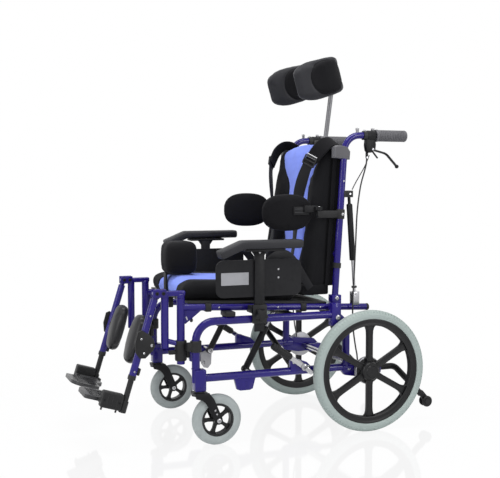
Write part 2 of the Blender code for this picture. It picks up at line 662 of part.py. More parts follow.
def make_seat_rail():
    frame = tube([(SEAT_X, SEAT_FRONT_Y, rail_z(SEAT_FRONT_Y)), (SEAT_X, SEAT_REAR_Y, rail_z(SEAT_REAR_Y))],
                 SEAT_TUBE_RADIUS)
    receiver = rod((SEAT_X, SEAT_FRONT_Y, RECEIVER_BOTTOM_Z), (SEAT_X, SEAT_FRONT_Y, RECEIVER_TOP_Z),
                   RECEIVER_RADIUS)
    gusset = prism([(-0.615, 0.385), (-0.606, 0.386), (-0.559, 0.420), (-0.590, 0.430), (-0.615, 0.430)],
                   SEAT_X - 0.004, SEAT_X + 0.004)
    saddle = box((SEAT_X - 0.011, 0.2570), (-0.4900, -0.4570),
                 (UPPER_RAIL_Z + FRAME_TUBE_RADIUS + CLEARANCE, 0.4300))
    tilt_lug = prism([(-0.1205, 0.400), (-0.1185, 0.372), (-0.1120, 0.3655), (-0.0972, 0.3655),
                      (-0.0907, 0.372), (-0.0887, 0.400)], SEAT_X - 0.006, SEAT_X + 0.006)
    strut_bridge = box((STRUT_X - 0.0100, SEAT_X), (STRUT_HIGH_Y - 0.012, STRUT_HIGH_Y + 0.012),
                       (0.4195, 0.4262))
    cheeks = [box((STRUT_X + side - 0.0015, STRUT_X + side + 0.0015),
                  (STRUT_HIGH_Y - 0.012, STRUT_HIGH_Y + 0.012), (0.3960, 0.4250))
              for side in (-0.0081, 0.0081)]
    arm_bracket = box((SEAT_X, SOCKET_OUTER_X), (-0.4050, -0.3580), (0.4050, 0.4300))
    arm_socket = box((SOCKET_INNER_X, SOCKET_OUTER_X), (-0.4050, -0.3580), (0.3620, 0.4350))
    hinge_block = box((SEAT_X - 0.0155, SEAT_X + 0.0155), (HINGE_Y - 0.0170, HINGE_Y + 0.0170),
                      (0.3980, HINGE_Z + 0.0120))
    gas_block = box((SEAT_X - 0.0100, SEAT_X + 0.0100), (GAS_LOW_Y - 0.0110, GAS_LOW_Y + 0.0110),
                    (rail_z(GAS_LOW_Y), GAS_LOW_Z + 0.0080))
    fuse(frame, receiver, gusset, saddle, tilt_lug, strut_bridge, *cheeks, arm_bracket, arm_socket,
         hinge_block, gas_block)
    tilt_bore = bore((SEAT_X - 0.03, TILT_PIVOT_Y, TILT_PIVOT_Z),
                     (SEAT_X + 0.03, TILT_PIVOT_Y, TILT_PIVOT_Z),
                     PIVOT_PIN_RADIUS)
    post_slot = box((POST_INNER_X - CLEARANCE, POST_INNER_X + POST_THICKNESS + CLEARANCE),
                    (POST_FRONT_Y - CLEARANCE, POST_REAR_Y + CLEARANCE), (0.30, 0.50))
    hinge_slot = box((SEAT_X - 0.0113, SEAT_X + 0.0113), (HINGE_Y - 0.03, HINGE_Y + 0.03),
                     (HINGE_Z - 0.0130, 0.50))
    gas_slot = box((SEAT_X - 0.0058, SEAT_X + 0.0058), (GAS_LOW_Y - 0.02, GAS_LOW_Y + 0.02),
                   (GAS_LOW_Z - 0.0090, 0.50))
    carve(frame, tilt_bore, post_slot, hinge_slot, gas_slot)
    hinge_pin = rod((SEAT_X - 0.0140, HINGE_Y, HINGE_Z), (SEAT_X + 0.0140, HINGE_Y, HINGE_Z),
                    HINGE_PIN_RADIUS)
    gas_pin = rod((SEAT_X - 0.0090, GAS_LOW_Y, GAS_LOW_Z), (SEAT_X + 0.0090, GAS_LOW_Y, GAS_LOW_Z),
                  GAS_PIN_RADIUS)
    return fuse(frame, hinge_pin, gas_pin)


def make_seat_pan():
    """Board on top of the rails, with a socket for the pommel's stem under its front edge."""
    lift = SEAT_TUBE_RADIUS * sqrt(1 + SEAT_SLOPE ** 2) + CLEARANCE
    pan = prism([(PAN_FRONT_Y, rail_z(PAN_FRONT_Y) + lift), (PAN_REAR_Y, rail_z(PAN_REAR_Y) + lift),
                 (PAN_REAR_Y, rail_z(PAN_REAR_Y) + lift + PAN_THICKNESS),
                 (PAN_FRONT_Y, rail_z(PAN_FRONT_Y) + lift + PAN_THICKNESS)],
                -PAN_HALF_WIDTH, PAN_HALF_WIDTH)
    socket = box((-SOCKET_HALF_WIDTH, SOCKET_HALF_WIDTH), (STEM_FRONT_Y - 0.0050, PAN_FRONT_Y + 0.012),
                 (SOCKET_BOTTOM_Z, SOCKET_TOP_Z))
    slot = box((-STEM_HALF_WIDTH - CLEARANCE, STEM_HALF_WIDTH + CLEARANCE),
               (STEM_FRONT_Y - CLEARANCE, STEM_REAR_Y + CLEARANCE), (0.38, 0.48))
    fuse(pan, socket)
    return carve(pan, slot)


# Arm rests

def make_armrest_post():
    """Flat post with the plate that carries the pad."""
    post = box((POST_INNER_X, POST_INNER_X + POST_THICKNESS), (POST_FRONT_Y, POST_REAR_Y),
               (POST_BOTTOM_Z, POST_TOP_Z))
    top = ARM_PAD_TOP_Z - ARM_PAD_THICKNESS - CLEARANCE
    plate = box((POST_INNER_X, 0.3080), (-0.4380, -0.3100), (top - 0.0070, top), 0.002)
    rib = prism([(-0.4340, top - 0.004), (POST_FRONT_Y + 0.004, 0.5650), (POST_REAR_Y - 0.004, 0.5650),
                 (-0.3330, top - 0.004)], POST_INNER_X + 0.0020, POST_INNER_X + 0.0070)
    return fuse(post, plate, rib)


def make_armrest_pad():
    """Long pad that bends down at the front and curls under at the rear."""
    middle = ARM_PAD_TOP_Z - ARM_PAD_THICKNESS / 2
    spine = rounded([(0, -0.5230, 0.5950), (0, -0.4480, middle), (0, -0.2500, middle),
                     (0, -0.2500, 0.5780)], 0.020, steps=4)
    half = ARM_PAD_THICKNESS / 2
    upper, lower = [], []
    for number, point in enumerate(spine):
        before = spine[max(number - 1, 0)]
        after = spine[min(number + 1, len(spine) - 1)]
        along = (after - before).normalized()
        across = Vector((0.0, -along.z, along.y))
        narrow = 0.60 if number in (0, len(spine) - 1) else 1.0
        upper.append((point + across * half * narrow).yz)
        lower.append((point - across * half * narrow).yz)
    pad = prism(upper + lower[::-1], ARM_PAD_INNER_X, ARM_PAD_OUTER_X, soft=0.006)
    return pad


def make_side_panel():
    corner = 0.024
    low, high, front, rear = 0.4590, 0.5750, -0.5230, -0.2360
    outline = []
    for y, z, start in ((rear - corner, high - corner, 0), (front + corner, high - corner, 90),
                        (front + corner, low + corner, 180), (rear - corner, low + corner, 270)):
        for step in range(5):
            angle = radians(start + 22.5 * step)
            outline.append((y + corner * cos(angle), z + corner * sin(angle)))
    return prism(outline, PANEL_INNER_X, PANEL_INNER_X + PANEL_THICKNESS)


# Leg rests

def leg_point(down, forward=0.0, x=SEAT_X):
    """Point at a distance down the leg tube from the knee and in front of its axis."""
    return Vector((x, KNEE_Y - LEG_LEAN_Y * down - LEG_LEAN_Z * forward,
                   KNEE_Z - LEG_LEAN_Z * down + LEG_LEAN_Y * forward))


def leg_box(x_range, down_range, forward_range, soft=0.0):
    """Block lined up with the leg tube."""
    block = box(x_range, forward_range, down_range, soft)
    turn = Matrix(((1, 0, 0, 0), (0, -LEG_LEAN_Z, -LEG_LEAN_Y, KNEE_Y),
                   (0, LEG_LEAN_Y, -LEG_LEAN_Z, KNEE_Z), (0, 0, 0, 1)))
    block.data.transform(turn)
    return block


def make_hanger():
    """Swing-away hanger that turns on the receiver tube."""
    hanger = tube([(SEAT_X, HANGER_Y, 0.3080), (SEAT_X, HANGER_Y, 0.4760)], 0.0120)
    top_bar = box((SEAT_X - 0.0095, SEAT_X + 0.0095), (HANGER_Y - 0.0150, SEAT_FRONT_Y + 0.0120),
                  (0.4670, 0.4830), 0.003)
    cap = rod((SEAT_X, SEAT_FRONT_Y, RECEIVER_TOP_Z + CLEARANCE), (SEAT_X, SEAT_FRONT_Y, 0.4720),
              RECEIVER_RADIUS)
    link = tube([(SEAT_X, HANGER_Y, 0.3310), (SEAT_X, SEAT_FRONT_Y - 0.0140, 0.3200)], 0.0080)
    collar = rod((SEAT_X, SEAT_FRONT_Y, 0.2660), (SEAT_X, SEAT_FRONT_Y, 0.3280), 0.0185)
    clevis = box((SEAT_X - 0.0130, SEAT_X + 0.0130), (KNEE_Y - 0.0120, HANGER_Y + 0.0030), (0.4650, 0.4895),
                 0.003)
    fuse(hanger, top_bar, cap, link, collar, clevis)
    receiver_bore = bore((SEAT_X, SEAT_FRONT_Y, 0.25), (SEAT_X, SEAT_FRONT_Y, 0.34), RECEIVER_RADIUS)
    clevis_slot = box((SEAT_X - 0.0083, SEAT_X + 0.0083), (KNEE_Y - 0.03, KNEE_Y + 0.0135), (0.45, 0.50))
    carve(hanger, receiver_bore, clevis_slot)
    pin = rod((SEAT_X - 0.0120, KNEE_Y, KNEE_Z), (SEAT_X + 0.0120, KNEE_Y, KNEE_Z), KNEE_PIN_RADIUS)
    return fuse(hanger, pin)


def make_leg_tube():
    """Elevating tube with the pivot of the calf pad's bracket on its outer side."""
    leg = rod(leg_point(0.0185), leg_point(LEG_TUBE_END), LEG_TUBE_RADIUS)
    neck = rod(leg_point(0.0), leg_point(0.0220), 0.0075)
    eye = rod((SEAT_X - 0.0080, KNEE_Y, KNEE_Z), (SEAT_X + 0.0080, KNEE_Y, KNEE_Z), 0.0115)
    fan = leg_box((SEAT_X + 0.0060, SEAT_X + 0.0145), (CALF_DOWN - 0.034, CALF_DOWN + 0.038),
                  (-0.022, 0.014))
    calf = leg_point(CALF_DOWN)
    calf_pin = rod(calf, calf - Vector((CALF_PIN_REACH, 0, 0)), CALF_PIN_RADIUS)
    fuse(leg, neck, eye, fan, calf_pin)
    inner_bore = bore(leg_point(CALF_DOWN + 0.022), leg_point(LEG_TUBE_END + 0.02), LEG_INNER_RADIUS)
    knee_bore = bore((SEAT_X - 0.02, KNEE_Y, KNEE_Z), (SEAT_X + 0.02, KNEE_Y, KNEE_Z), KNEE_PIN_RADIUS)
    return carve(leg, inner_bore, knee_bore)


def make_leg_slide():
    """Length adjuster with the block that hinges the foot plate."""
    slide = rod(leg_point(CALF_DOWN + 0.024), leg_point(LEG_BLOCK_START + 0.010), LEG_INNER_RADIUS)
    block = leg_box((FOOT_HINGE_X + 0.0120, SEAT_X + 0.0135), (LEG_BLOCK_START, LEG_BLOCK_END),
                    (-0.0130, 0.0740), 0.006)
    lugs = [leg_box((FOOT_HINGE_X - 0.0070, FOOT_HINGE_X + 0.0200),
                    (FOOT_AXIS_DOWN - 0.0075, FOOT_AXIS_DOWN + 0.0075),
                    (low, low + 0.0095)) for low in (-0.0125, 0.0640)]
    pin = rod(leg_point(FOOT_AXIS_DOWN, -0.0080, FOOT_HINGE_X),
              leg_point(FOOT_AXIS_DOWN, 0.0690, FOOT_HINGE_X),
              FOOT_PIN_RADIUS)
    return fuse(slide, block, *lugs, pin)


def make_footplate():
    """Plate with one rounded corner and a heel notch that passes the calf pad when it flips up."""
    corner = 0.045
    outer = FOOT_HINGE_X - 0.0112
    rear, front = -0.0060, FOOT_PLATE_LENGTH - 0.0060
    heel = rear + FOOT_PLATE_NOTCH
    outline = [(outer, rear), (FOOT_PLATE_INNER_X + 0.090, rear), (FOOT_PLATE_INNER_X + 0.064, heel),
               (FOOT_PLATE_INNER_X + 0.010, heel), (FOOT_PLATE_INNER_X, heel + 0.010)]
    for step in range(5):
        angle = radians(180.0 - 22.5 * step)
        outline.append((FOOT_PLATE_INNER_X + corner + corner * cos(angle),
                        front - corner + corner * sin(angle)))
    outline += [(outer - 0.012, front), (outer, front - 0.012)]
    bm = bmesh.new()
    face = bm.faces.new([bm.verts.new(leg_point(FOOT_PLATE_DOWN, forward, x)) for x, forward in outline])
    made = bmesh.ops.extrude_face_region(bm, geom=[face])
    moved = [item for item in made["geom"] if isinstance(item, bmesh.types.BMVert)]
    shift = leg_point(FOOT_PLATE_THICKNESS) - leg_point(0.0)
    bmesh.ops.translate(bm, verts=moved, vec=shift)
    plate = solid(bm)
    barrel = rod(leg_point(FOOT_AXIS_DOWN, -0.0027, FOOT_HINGE_X),
                 leg_point(FOOT_AXIS_DOWN, 0.0637, FOOT_HINGE_X),
                 0.0070)
    web = leg_box((outer - 0.006, FOOT_HINGE_X), (FOOT_AXIS_DOWN - 0.0036, FOOT_AXIS_DOWN + 0.0036),
                  (-0.0015, 0.0625))
    fuse(plate, barrel, web)
    pin_bore = bore(leg_point(FOOT_AXIS_DOWN, -0.02, FOOT_HINGE_X),
                    leg_point(FOOT_AXIS_DOWN, 0.09, FOOT_HINGE_X),
                    FOOT_PIN_RADIUS)
    return carve(plate, pin_bore)


def make_calf_pad():
    """Padded calf rest and its side arm, which turns on the leg tube's pin."""
    centre = leg_point(CALF_DOWN, CALF_FORWARD, CALF_X)
    lean = Matrix.Rotation(-radians(17.0), 4, "X")

    def crowned(point):
        swell = (1 - (point.x / CALF_HALF_WIDTH) ** 2) * (1 - (point.z / CALF_HALF_HEIGHT) ** 2)
        bulge = 0.006 * swell if point.y < 0 else 0.0
        drawn = 1.0 - 0.05 * (point.y / CALF_HALF_DEPTH) ** 2
        return Vector((point.x * drawn, point.y - bulge, point.z * drawn))

    pad = soft_block((CALF_HALF_WIDTH, CALF_HALF_DEPTH, CALF_HALF_HEIGHT), 0.014, (2, 1, 3), crowned)
    pad.data.transform(Matrix.Translation(centre) @ lean)
    calf = leg_point(CALF_DOWN)
    eye_x = SEAT_X - CALF_PIN_REACH
    eye = rod((eye_x, calf.y, calf.z), (eye_x + 0.0110, calf.y, calf.z), 0.0100)
    arm = leg_box((CALF_X + 0.030, eye_x + 0.0070), (CALF_DOWN - 0.008, CALF_DOWN + 0.008),
                  (-0.0080, 0.0060))
    fuse(pad, arm, eye)
    pin_bore = bore((eye_x - 0.0020, calf.y, calf.z), (eye_x + 0.03, calf.y, calf.z), CALF_PIN_RADIUS)
    return carve(pad, pin_bore)


# Back frame

def cane_y(z):
    """Depth of the canes' centre line."""
    return HINGE_Y + CANE_SLOPE * (z - HINGE_Z)


def leaned(obj):
    """Shear a piece so that its y is measured from the canes' centre plane."""
    shear = Matrix.Identity(4)
    shear[1][2] = CANE_SLOPE
    shear[1][3] = HINGE_Y - CANE_SLOPE * HINGE_Z
    obj.data.transform(shear)
    return obj


def head_bar_point(z):
    """Point on the headrest bar's leaning axis."""
    return Vector((0.0, HEAD_BAR_Y + HEAD_BAR_SLOPE * (z - HEAD_BAR_Z), z))


def make_cane():
    """Left cane with its hinge eye, gas spring clevis and lateral clamp."""
    foot_z = HINGE_Z + 0.0080
    cane = tube([(SEAT_X, cane_y(foot_z), foot_z), (SEAT_X, cane_y(HANDLE_Z), HANDLE_Z),
                 (SEAT_X, HANDLE_END_Y, HANDLE_Z)], CANE_TUBE_RADIUS, bend=HANDLE_BEND_RADIUS)
    eye = rod((SEAT_X - 0.0106, HINGE_Y, HINGE_Z), (SEAT_X + 0.0106, HINGE_Y, HINGE_Z), 0.0122)
    floor_y = GAS_HIGH_Y - 0.0115
    z_range = (GAS_HIGH_Z - 0.0110, GAS_HIGH_Z + 0.0110)
    clevis = box((SEAT_X - 0.0104, SEAT_X + 0.0104), (cane_y(GAS_HIGH_Z), floor_y), z_range)
    cheeks = [box((x - 0.0021, x + 0.0021), (floor_y - 0.0010, GAS_HIGH_Y + 0.0110), z_range)
              for x in (SEAT_X - 0.0083, SEAT_X + 0.0083)]
    clamp = rod((SEAT_X, cane_y(LATERAL_Z), LATERAL_Z - 0.0160),
                (SEAT_X, cane_y(LATERAL_Z), LATERAL_Z + 0.0160),
                LATERAL_CLAMP_RADIUS)
    arm = box((SEAT_X - 0.0080, SEAT_X + 0.0080), (LATERAL_Y - 0.0090, cane_y(LATERAL_Z)),
              (LATERAL_Z - 0.0120, LATERAL_Z + 0.0120), 0.002)
    fuse(cane, eye, clevis, *cheeks, clamp, arm)
    pin_bore = bore((SEAT_X - 0.02, HINGE_Y, HINGE_Z), (SEAT_X + 0.02, HINGE_Y, HINGE_Z), HINGE_PIN_RADIUS)
    carve(cane, pin_bore)
    pin = rod((SEAT_X, LATERAL_Y, LATERAL_Z), (SEAT_X, LATERAL_Y, LATERAL_Z + 0.0260), LATERAL_PIN_RADIUS)
    return fuse(cane, pin)


def make_back_frame():
    frame = make_cane()
    mesh = frame.data.copy()
    mesh.transform(Matrix.Scale(-1.0, 4, (1.0, 0.0, 0.0)))
    mesh.flip_normals()
    bars = [tube([(-SEAT_X, cane_y(z), z), (SEAT_X, cane_y(z), z)], 0.0095)
            for z in (LOW_BAR_Z, HIGH_BAR_Z)]
    plates = [leaned(box((-half, half), (-CUSHION_SEAT, 0.0), (z - 0.0140, z + 0.0140)))
              for z, half in ((LOW_BAR_Z, 0.100), (HIGH_BAR_Z, 0.060))]
    socket = box((-0.0190, 0.0190), (cane_y(HIGH_BAR_Z), -0.0180), (0.9080, 0.9620))
    fuse(frame, bars[0], bars[1], add_object("right_cane", mesh), *plates, socket)
    return carve(frame, bore(head_bar_point(0.88), head_bar_point(1.00), HEAD_BAR_RADIUS))


def make_hand_grip():
    """Grip on the handle tube, moulded with the brake lever's housing."""
    grip = turned([(0.0120, 0), (0.0120, 0.0165), (0.0520, 0.0165), (GRIP_FRONT_Y, GRIP_RADIUS),
                   (GRIP_REAR_Y - 0.004, GRIP_RADIUS), (GRIP_REAR_Y, GRIP_RADIUS - 0.004), (GRIP_REAR_Y, 0)],
                  (SEAT_X, 0, HANDLE_Z), (0, 1, 0), 12)
    housing = box((SEAT_X - 0.0100, SEAT_X + 0.0100), (0.0140, LEVER_Y + 0.0100),
                  (LEVER_Z - 0.0100, HANDLE_Z),
                  0.002)
    fuse(grip, housing)
    tube_bore = bore((SEAT_X, -0.01, HANDLE_Z), (SEAT_X, HANDLE_END_Y + 0.0010, HANDLE_Z), CANE_TUBE_RADIUS)
    slot = box((SEAT_X - 0.0053, SEAT_X + 0.0053), (LEVER_Y - 0.0100, LEVER_Y + 0.05),
               (LEVER_Z - 0.03, LEVER_Z + 0.0120))
    carve(grip, tube_bore, slot)
    pin = rod((SEAT_X - 0.0090, LEVER_Y, LEVER_Z), (SEAT_X + 0.0090, LEVER_Y, LEVER_Z), LEVER_PIN_RADIUS)
    return fuse(grip, pin)


def make_hand_brake_lever():
    lever = tube([(SEAT_X, LEVER_Y + 0.003, LEVER_Z - 0.001), (SEAT_X, 0.0960, 0.9080),
                  (SEAT_X, 0.1360, 0.8670)],
                 0.0050, bend=0.030)
    eye = rod((SEAT_X - 0.0050, LEVER_Y, LEVER_Z), (SEAT_X + 0.0050, LEVER_Y, LEVER_Z), 0.0080)
    fuse(lever, eye)
    return carve(lever, bore((SEAT_X - 0.02, LEVER_Y, LEVER_Z), (SEAT_X + 0.02, LEVER_Y, LEVER_Z),
                             LEVER_PIN_RADIUS))


# Gas springs of the recline

def gas_point(along):
    """Point at a distance up the gas spring's axis."""
    rise = Vector((0.0, GAS_HIGH_Y - GAS_LOW_Y, GAS_HIGH_Z - GAS_LOW_Z))
    return Vector((SEAT_X, GAS_LOW_Y, GAS_LOW_Z)) + rise.normalized() * along


GAS_LENGTH = sqrt((GAS_HIGH_Y - GAS_LOW_Y) ** 2 + (GAS_HIGH_Z - GAS_LOW_Z) ** 2)


def make_recline_rod():
    eye = rod((SEAT_X - 0.0055, GAS_LOW_Y, GAS_LOW_Z), (SEAT_X + 0.0055, GAS_LOW_Y, GAS_LOW_Z), 0.0080)
    stem = rod(gas_point(0.0060), gas_point(GAS_BODY_END - 0.0680), GAS_ROD_RADIUS)
    fuse(stem, eye)
    return carve(stem, bore((SEAT_X - 0.02, GAS_LOW_Y, GAS_LOW_Z), (SEAT_X + 0.02, GAS_LOW_Y, GAS_LOW_Z),
                            GAS_PIN_RADIUS))


def make_recline_cylinder():
    body = rod(gas_point(GAS_BODY_START), gas_point(GAS_BODY_END), GAS_BODY_RADIUS)
    neck = rod(gas_point(GAS_BODY_END - 0.010), gas_point(GAS_LENGTH - 0.003), 0.0050)
    eye = rod((SEAT_X - 0.0050, GAS_HIGH_Y, GAS_HIGH_Z), (SEAT_X + 0.0050, GAS_HIGH_Y, GAS_HIGH_Z), 0.0080)
    fuse(body, neck, eye)
    return carve(body,
                 bore(gas_point(GAS_BODY_START - 0.01), gas_point(GAS_BODY_END - 0.0050), GAS_ROD_RADIUS))


# Supports on the back

def make_lateral_support():
    """Trunk pad and the bracket that swings on the cane's clamp."""
    middle = (LATERAL_PAD_X, (LATERAL_PAD_FRONT_Y + LATERAL_PAD_REAR_Y) / 2, 0.7180)

    def crowned(point):
        swell = (1 - (point.y / LATERAL_PAD_HALF_LENGTH) ** 2) * (1 - (point.z / 0.057) ** 2)
        height = point.z * (1.0 - 0.38 * (point.y / LATERAL_PAD_HALF_LENGTH) ** 4)
        return Vector((point.x - (0.005 * swell if point.x < 0 else 0.0), point.y, height))

    pad = soft_block((0.0125, LATERAL_PAD_HALF_LENGTH, 0.0570), 0.010, (1, 4, 2), crowned)
    pad.data.transform(Matrix.Translation(middle))
    low, high = LATERAL_Z + 0.0123, LATERAL_Z + 0.0250
    hub = rod((SEAT_X, LATERAL_Y, low), (SEAT_X, LATERAL_Y, high), 0.0095)
    arm = box((LATERAL_PAD_X + 0.0145, SEAT_X + 0.0020), (LATERAL_PAD_REAR_Y - 0.0300, LATERAL_Y),
              (low, high))
    foot = box((LATERAL_PAD_X, LATERAL_PAD_X + 0.0200),
               (LATERAL_PAD_REAR_Y - 0.0500, LATERAL_PAD_REAR_Y - 0.0080),
               (low - 0.0300, high + 0.0100))
    fuse(pad, foot, arm, hub)
    return carve(pad,
                 bore((SEAT_X, LATERAL_Y, low - 0.01), (SEAT_X, LATERAL_Y, high + 0.01), LATERAL_PIN_RADIUS))


def make_headrest_bar():
    bar = rod(head_bar_point(0.8000), head_bar_point(HEAD_PIVOT_Z - 0.002), HEAD_BAR_RADIUS)
    pivot = head_bar_point(HEAD_PIVOT_Z)
    eye = rod(pivot - Vector((0.0070, 0, 0)), pivot + Vector((0.0070, 0, 0)), 0.0100)
    fuse(bar, eye)
    return carve(bar, bore(pivot - Vector((0.02, 0, 0)), pivot + Vector((0.02, 0, 0)), HEAD_PIN_RADIUS))


def head_path(along):
    """Point and outward direction of the headrest's centre line, a distance from its middle."""
    straight = HEADREST_HALF_WIDTH - HEADREST_CORNER
    arc = pi / 2 * HEADREST_CORNER
    size = abs(along)
    angle = min(max((size - straight) / HEADREST_CORNER, 0.0), pi / 2)
    x = min(size, straight) + HEADREST_CORNER * sin(angle)
    y = HEADREST_Y - HEADREST_CORNER * (1 - cos(angle)) - max(0.0, size - straight - arc)
    side = 1 if along >= 0 else -1
    return Vector((side * x, y)), Vector((side * sin(angle), cos(angle)))


def make_headrest_pad():
    """Two-lobed pad bent round the head, leaning forward, with a clevis at its back."""
    half_length = (HEADREST_HALF_WIDTH - HEADREST_CORNER + pi / 2 * HEADREST_CORNER
                   + HEADREST_Y - HEADREST_CORNER - HEADREST_TIP_Y)
    pivot = head_bar_point(HEAD_PIVOT_Z)
    lean = Matrix.Translation(pivot) @ Matrix.Rotation(radians(HEADREST_LEAN), 4, "X")
    lean = lean @ Matrix.Translation(-pivot)

    def bent(point):
        middle, out = head_path(point.x)
        size = abs(point.x)
        tip = max(0.0, (size - half_length + 0.060) / 0.060)
        height = point.z * (1.0 - 0.30 * tip ** 2) * (1.0 - 0.20 * max(0.0, 1 - size / 0.090))
        lobe = HEADREST_LOBE * exp(-((size - 0.095) / 0.045) ** 2)
        thick = point.y + (lobe * point.y / (HEADREST_THICKNESS / 2) if point.y > 0 else 0.0)
        place = middle + out * thick
        return lean @ Vector((place.x, place.y, HEADREST_Z + height))

    pad = soft_block((half_length, HEADREST_THICKNESS / 2, HEADREST_HEIGHT / 2), 0.0150, (12, 1, 2), bent)
    lugs = [box((x - 0.0025, x + 0.0025), (HEADREST_Y, pivot.y + 0.0100), (pivot.z - 0.012, pivot.z + 0.012))
            for x in (-0.0110, 0.0110)]
    pin = rod(pivot - Vector((0.0120, 0, 0)), pivot + Vector((0.0120, 0, 0)), HEAD_PIN_RADIUS)
    return fuse(pad, lugs[0], lugs[1], pin)


# Seat and back cushions

def panel_shift(x, line, edge, half):
    """Move a grid position so that the grid line at line falls on the panel's edge."""
    size = abs(x)
    if size <= line:
        moved = size * edge / line
    else:
        moved = edge + (size - line) * (half - edge) / (half - line)
    return moved if x >= 0 else -moved


def bolster(x, edge, half):
    """Rise of a side bolster from 0 at the panel's edge to 1."""
    share = min(max((abs(x) - edge) / (0.45 * (half - edge)), 0.0), 1.0)
    return share * share * (3 - 2 * share)


def make_seat_cushion():
    """Cushion with a lower centre panel, raised sides and a rounded front edge."""
    half_length = (SEAT_CUSHION_REAR_Y - SEAT_CUSHION_FRONT_Y) / 2
    middle_y = (SEAT_CUSHION_REAR_Y + SEAT_CUSHION_FRONT_Y) / 2
    half_height = SEAT_CUSHION_HEIGHT / 2
    lift = SEAT_TUBE_RADIUS * sqrt(1 + SEAT_SLOPE ** 2) + PAN_THICKNESS + 2 * CLEARANCE

    def shaped(point):
        x = panel_shift(point.x, 0.088, SEAT_PANEL_HALF_WIDTH, SEAT_CUSHION_HALF_WIDTH)
        y = middle_y + point.y
        share = (point.z + half_height) / SEAT_CUSHION_HEIGHT
        rise = 0.015 * bolster(x, SEAT_PANEL_HALF_WIDTH, SEAT_CUSHION_HALF_WIDTH)
        crown = 0.006 * max(0.0, 1 - (x / SEAT_PANEL_HALF_WIDTH) ** 2)
        seam = 0.004 if abs(abs(x) - SEAT_PANEL_HALF_WIDTH) < 0.001 else 0.0
        front = max(0.0, (-point.y / half_length - 0.72) / 0.28)
        height = SEAT_CUSHION_HEIGHT + rise + crown - seam - 0.010 * front ** 2
        x *= 1.0 - 0.012 * (1 - (2 * share - 1) ** 2)
        return Vector((x, y, rail_z(y) + lift + share * height))

    size = (SEAT_CUSHION_HALF_WIDTH, half_length, half_height)
    cushion = soft_block(size, CUSHION_ROUNDING, (8, 6, 1), shaped, True)
    notch = box((-STEM_HALF_WIDTH - 0.004, STEM_HALF_WIDTH + 0.004),
                (SEAT_CUSHION_FRONT_Y - 0.02, STEM_REAR_Y + 0.0025), (0.40, 0.56))
    return carve(cushion, notch)


def make_back_cushion():
    """Back cushion with a tapering centre panel between deep side bolsters."""
    half_height = (BACK_CUSHION_TOP_Z - BACK_CUSHION_BOTTOM_Z) / 2
    middle_z = (BACK_CUSHION_TOP_Z + BACK_CUSHION_BOTTOM_Z) / 2
    half_depth = BACK_PANEL_DEPTH / 2

    def shaped(point):
        up = (point.z + half_height) / (2 * half_height)
        edge = BACK_PANEL_LOW + (BACK_PANEL_HIGH - BACK_PANEL_LOW) * up
        x = panel_shift(point.x, 0.105, edge, BACK_CUSHION_HALF_WIDTH)
        z = middle_z + point.z + 0.030 * up * (1 - (x / BACK_CUSHION_HALF_WIDTH) ** 2)
        side = BACK_BOLSTER_LOW + (BACK_BOLSTER_HIGH - BACK_BOLSTER_LOW) * up
        rise = (side - 2 * half_depth) * bolster(x, edge, BACK_CUSHION_HALF_WIDTH)
        crown = 0.008 * max(0.0, 1 - (x / edge) ** 2) * sin(pi * up)
        seam = 0.005 if abs(abs(x) - edge) < 0.001 else 0.0
        share = (half_depth - point.y) / (2 * half_depth)
        x *= 1.0 - 0.015 * (1 - (2 * share - 1) ** 2)
        depth = share * (2 * half_depth + rise + crown - seam)
        return Vector((x, cane_y(z) - CUSHION_SEAT - CLEARANCE - depth, z))

    return soft_block((BACK_CUSHION_HALF_WIDTH, half_depth, half_height), CUSHION_ROUNDING, (10, 1, 8),
                      shaped, True)


def make_pommel():
    """Knee separator on a flat stem in front of the cushion."""
    def crowned(point):
        waist = 1.0 - 0.06 * (point.z / POMMEL_HALF_HEIGHT) ** 2
        return Vector((point.x * waist, point.y * waist, point.z))

    pad = soft_block((POMMEL_HALF_WIDTH, POMMEL_HALF_DEPTH, POMMEL_HALF_HEIGHT), 0.0220, (2, 2, 2), crowned)
    pad.data.transform(Matrix.Translation((0.0, POMMEL_Y, POMMEL_Z)))
    stem = box((-STEM_HALF_WIDTH, STEM_HALF_WIDTH), (STEM_FRONT_Y, STEM_REAR_Y), (STEM_BOTTOM_Z, STEM_TOP_Z))
    return fuse(pad, stem)


# Cables and straps

def smooth_route(points, spacing):
    """Points at an even spacing along a smooth curve through a hand-chosen route."""
    route = [Vector(point) for point in points]
    ends = [2 * route[0] - route[1]] + route + [2 * route[-1] - route[-2]]
    fine = []
    for a, b, c, d in zip(ends, ends[1:], ends[2:], ends[3:]):
        for step in range(20):
            t = step / 20
            fine.append(0.5 * (2 * b + (c - a) * t + (2 * a - 5 * b + 4 * c - d) * t ** 2
                               + (3 * b - a - 3 * c + d) * t ** 3))
    fine.append(route[-1])
    total = sum((after - before).length for before, after in zip(fine, fine[1:]))
    count = max(2, round(total / spacing))
    result, walked, number = [fine[0]], 0.0, 1
    for before, after in zip(fine, fine[1:]):
        step = (after - before).length
        while number < count and walked + step >= total * number / count:
            share = (total * number / count - walked) / step
            result.append(before.lerp(after, share))
            number += 1
        walked += step
    result.append(fine[-1])
    return result


BRAKE_CABLE_ROUTE = [
    (0.2125, 0.0220, 0.9147), (0.2125, 0.0220, 0.9020), (0.2200, 0.0160, 0.8750),
    (0.2300, 0.0020, 0.8450), (0.2345, -0.0130, 0.8000), (0.2345, -0.0240, 0.7200),
    (0.2350, -0.0290, 0.6200), (0.2360, -0.0340, 0.5200), (0.2380, -0.0400, 0.4200),
    (0.2420, -0.0400, 0.3400), (0.2450, -0.0330, 0.2800), (0.2450, -0.0260, 0.2460),
    (0.2450, -0.0250, 0.2311),
]


def make_brake_cable():
    points = smooth_route(BRAKE_CABLE_ROUTE, CABLE_RADIUS * 8)
    cable = tube(points, CABLE_RADIUS, resolution=2)
    return cable


# The object

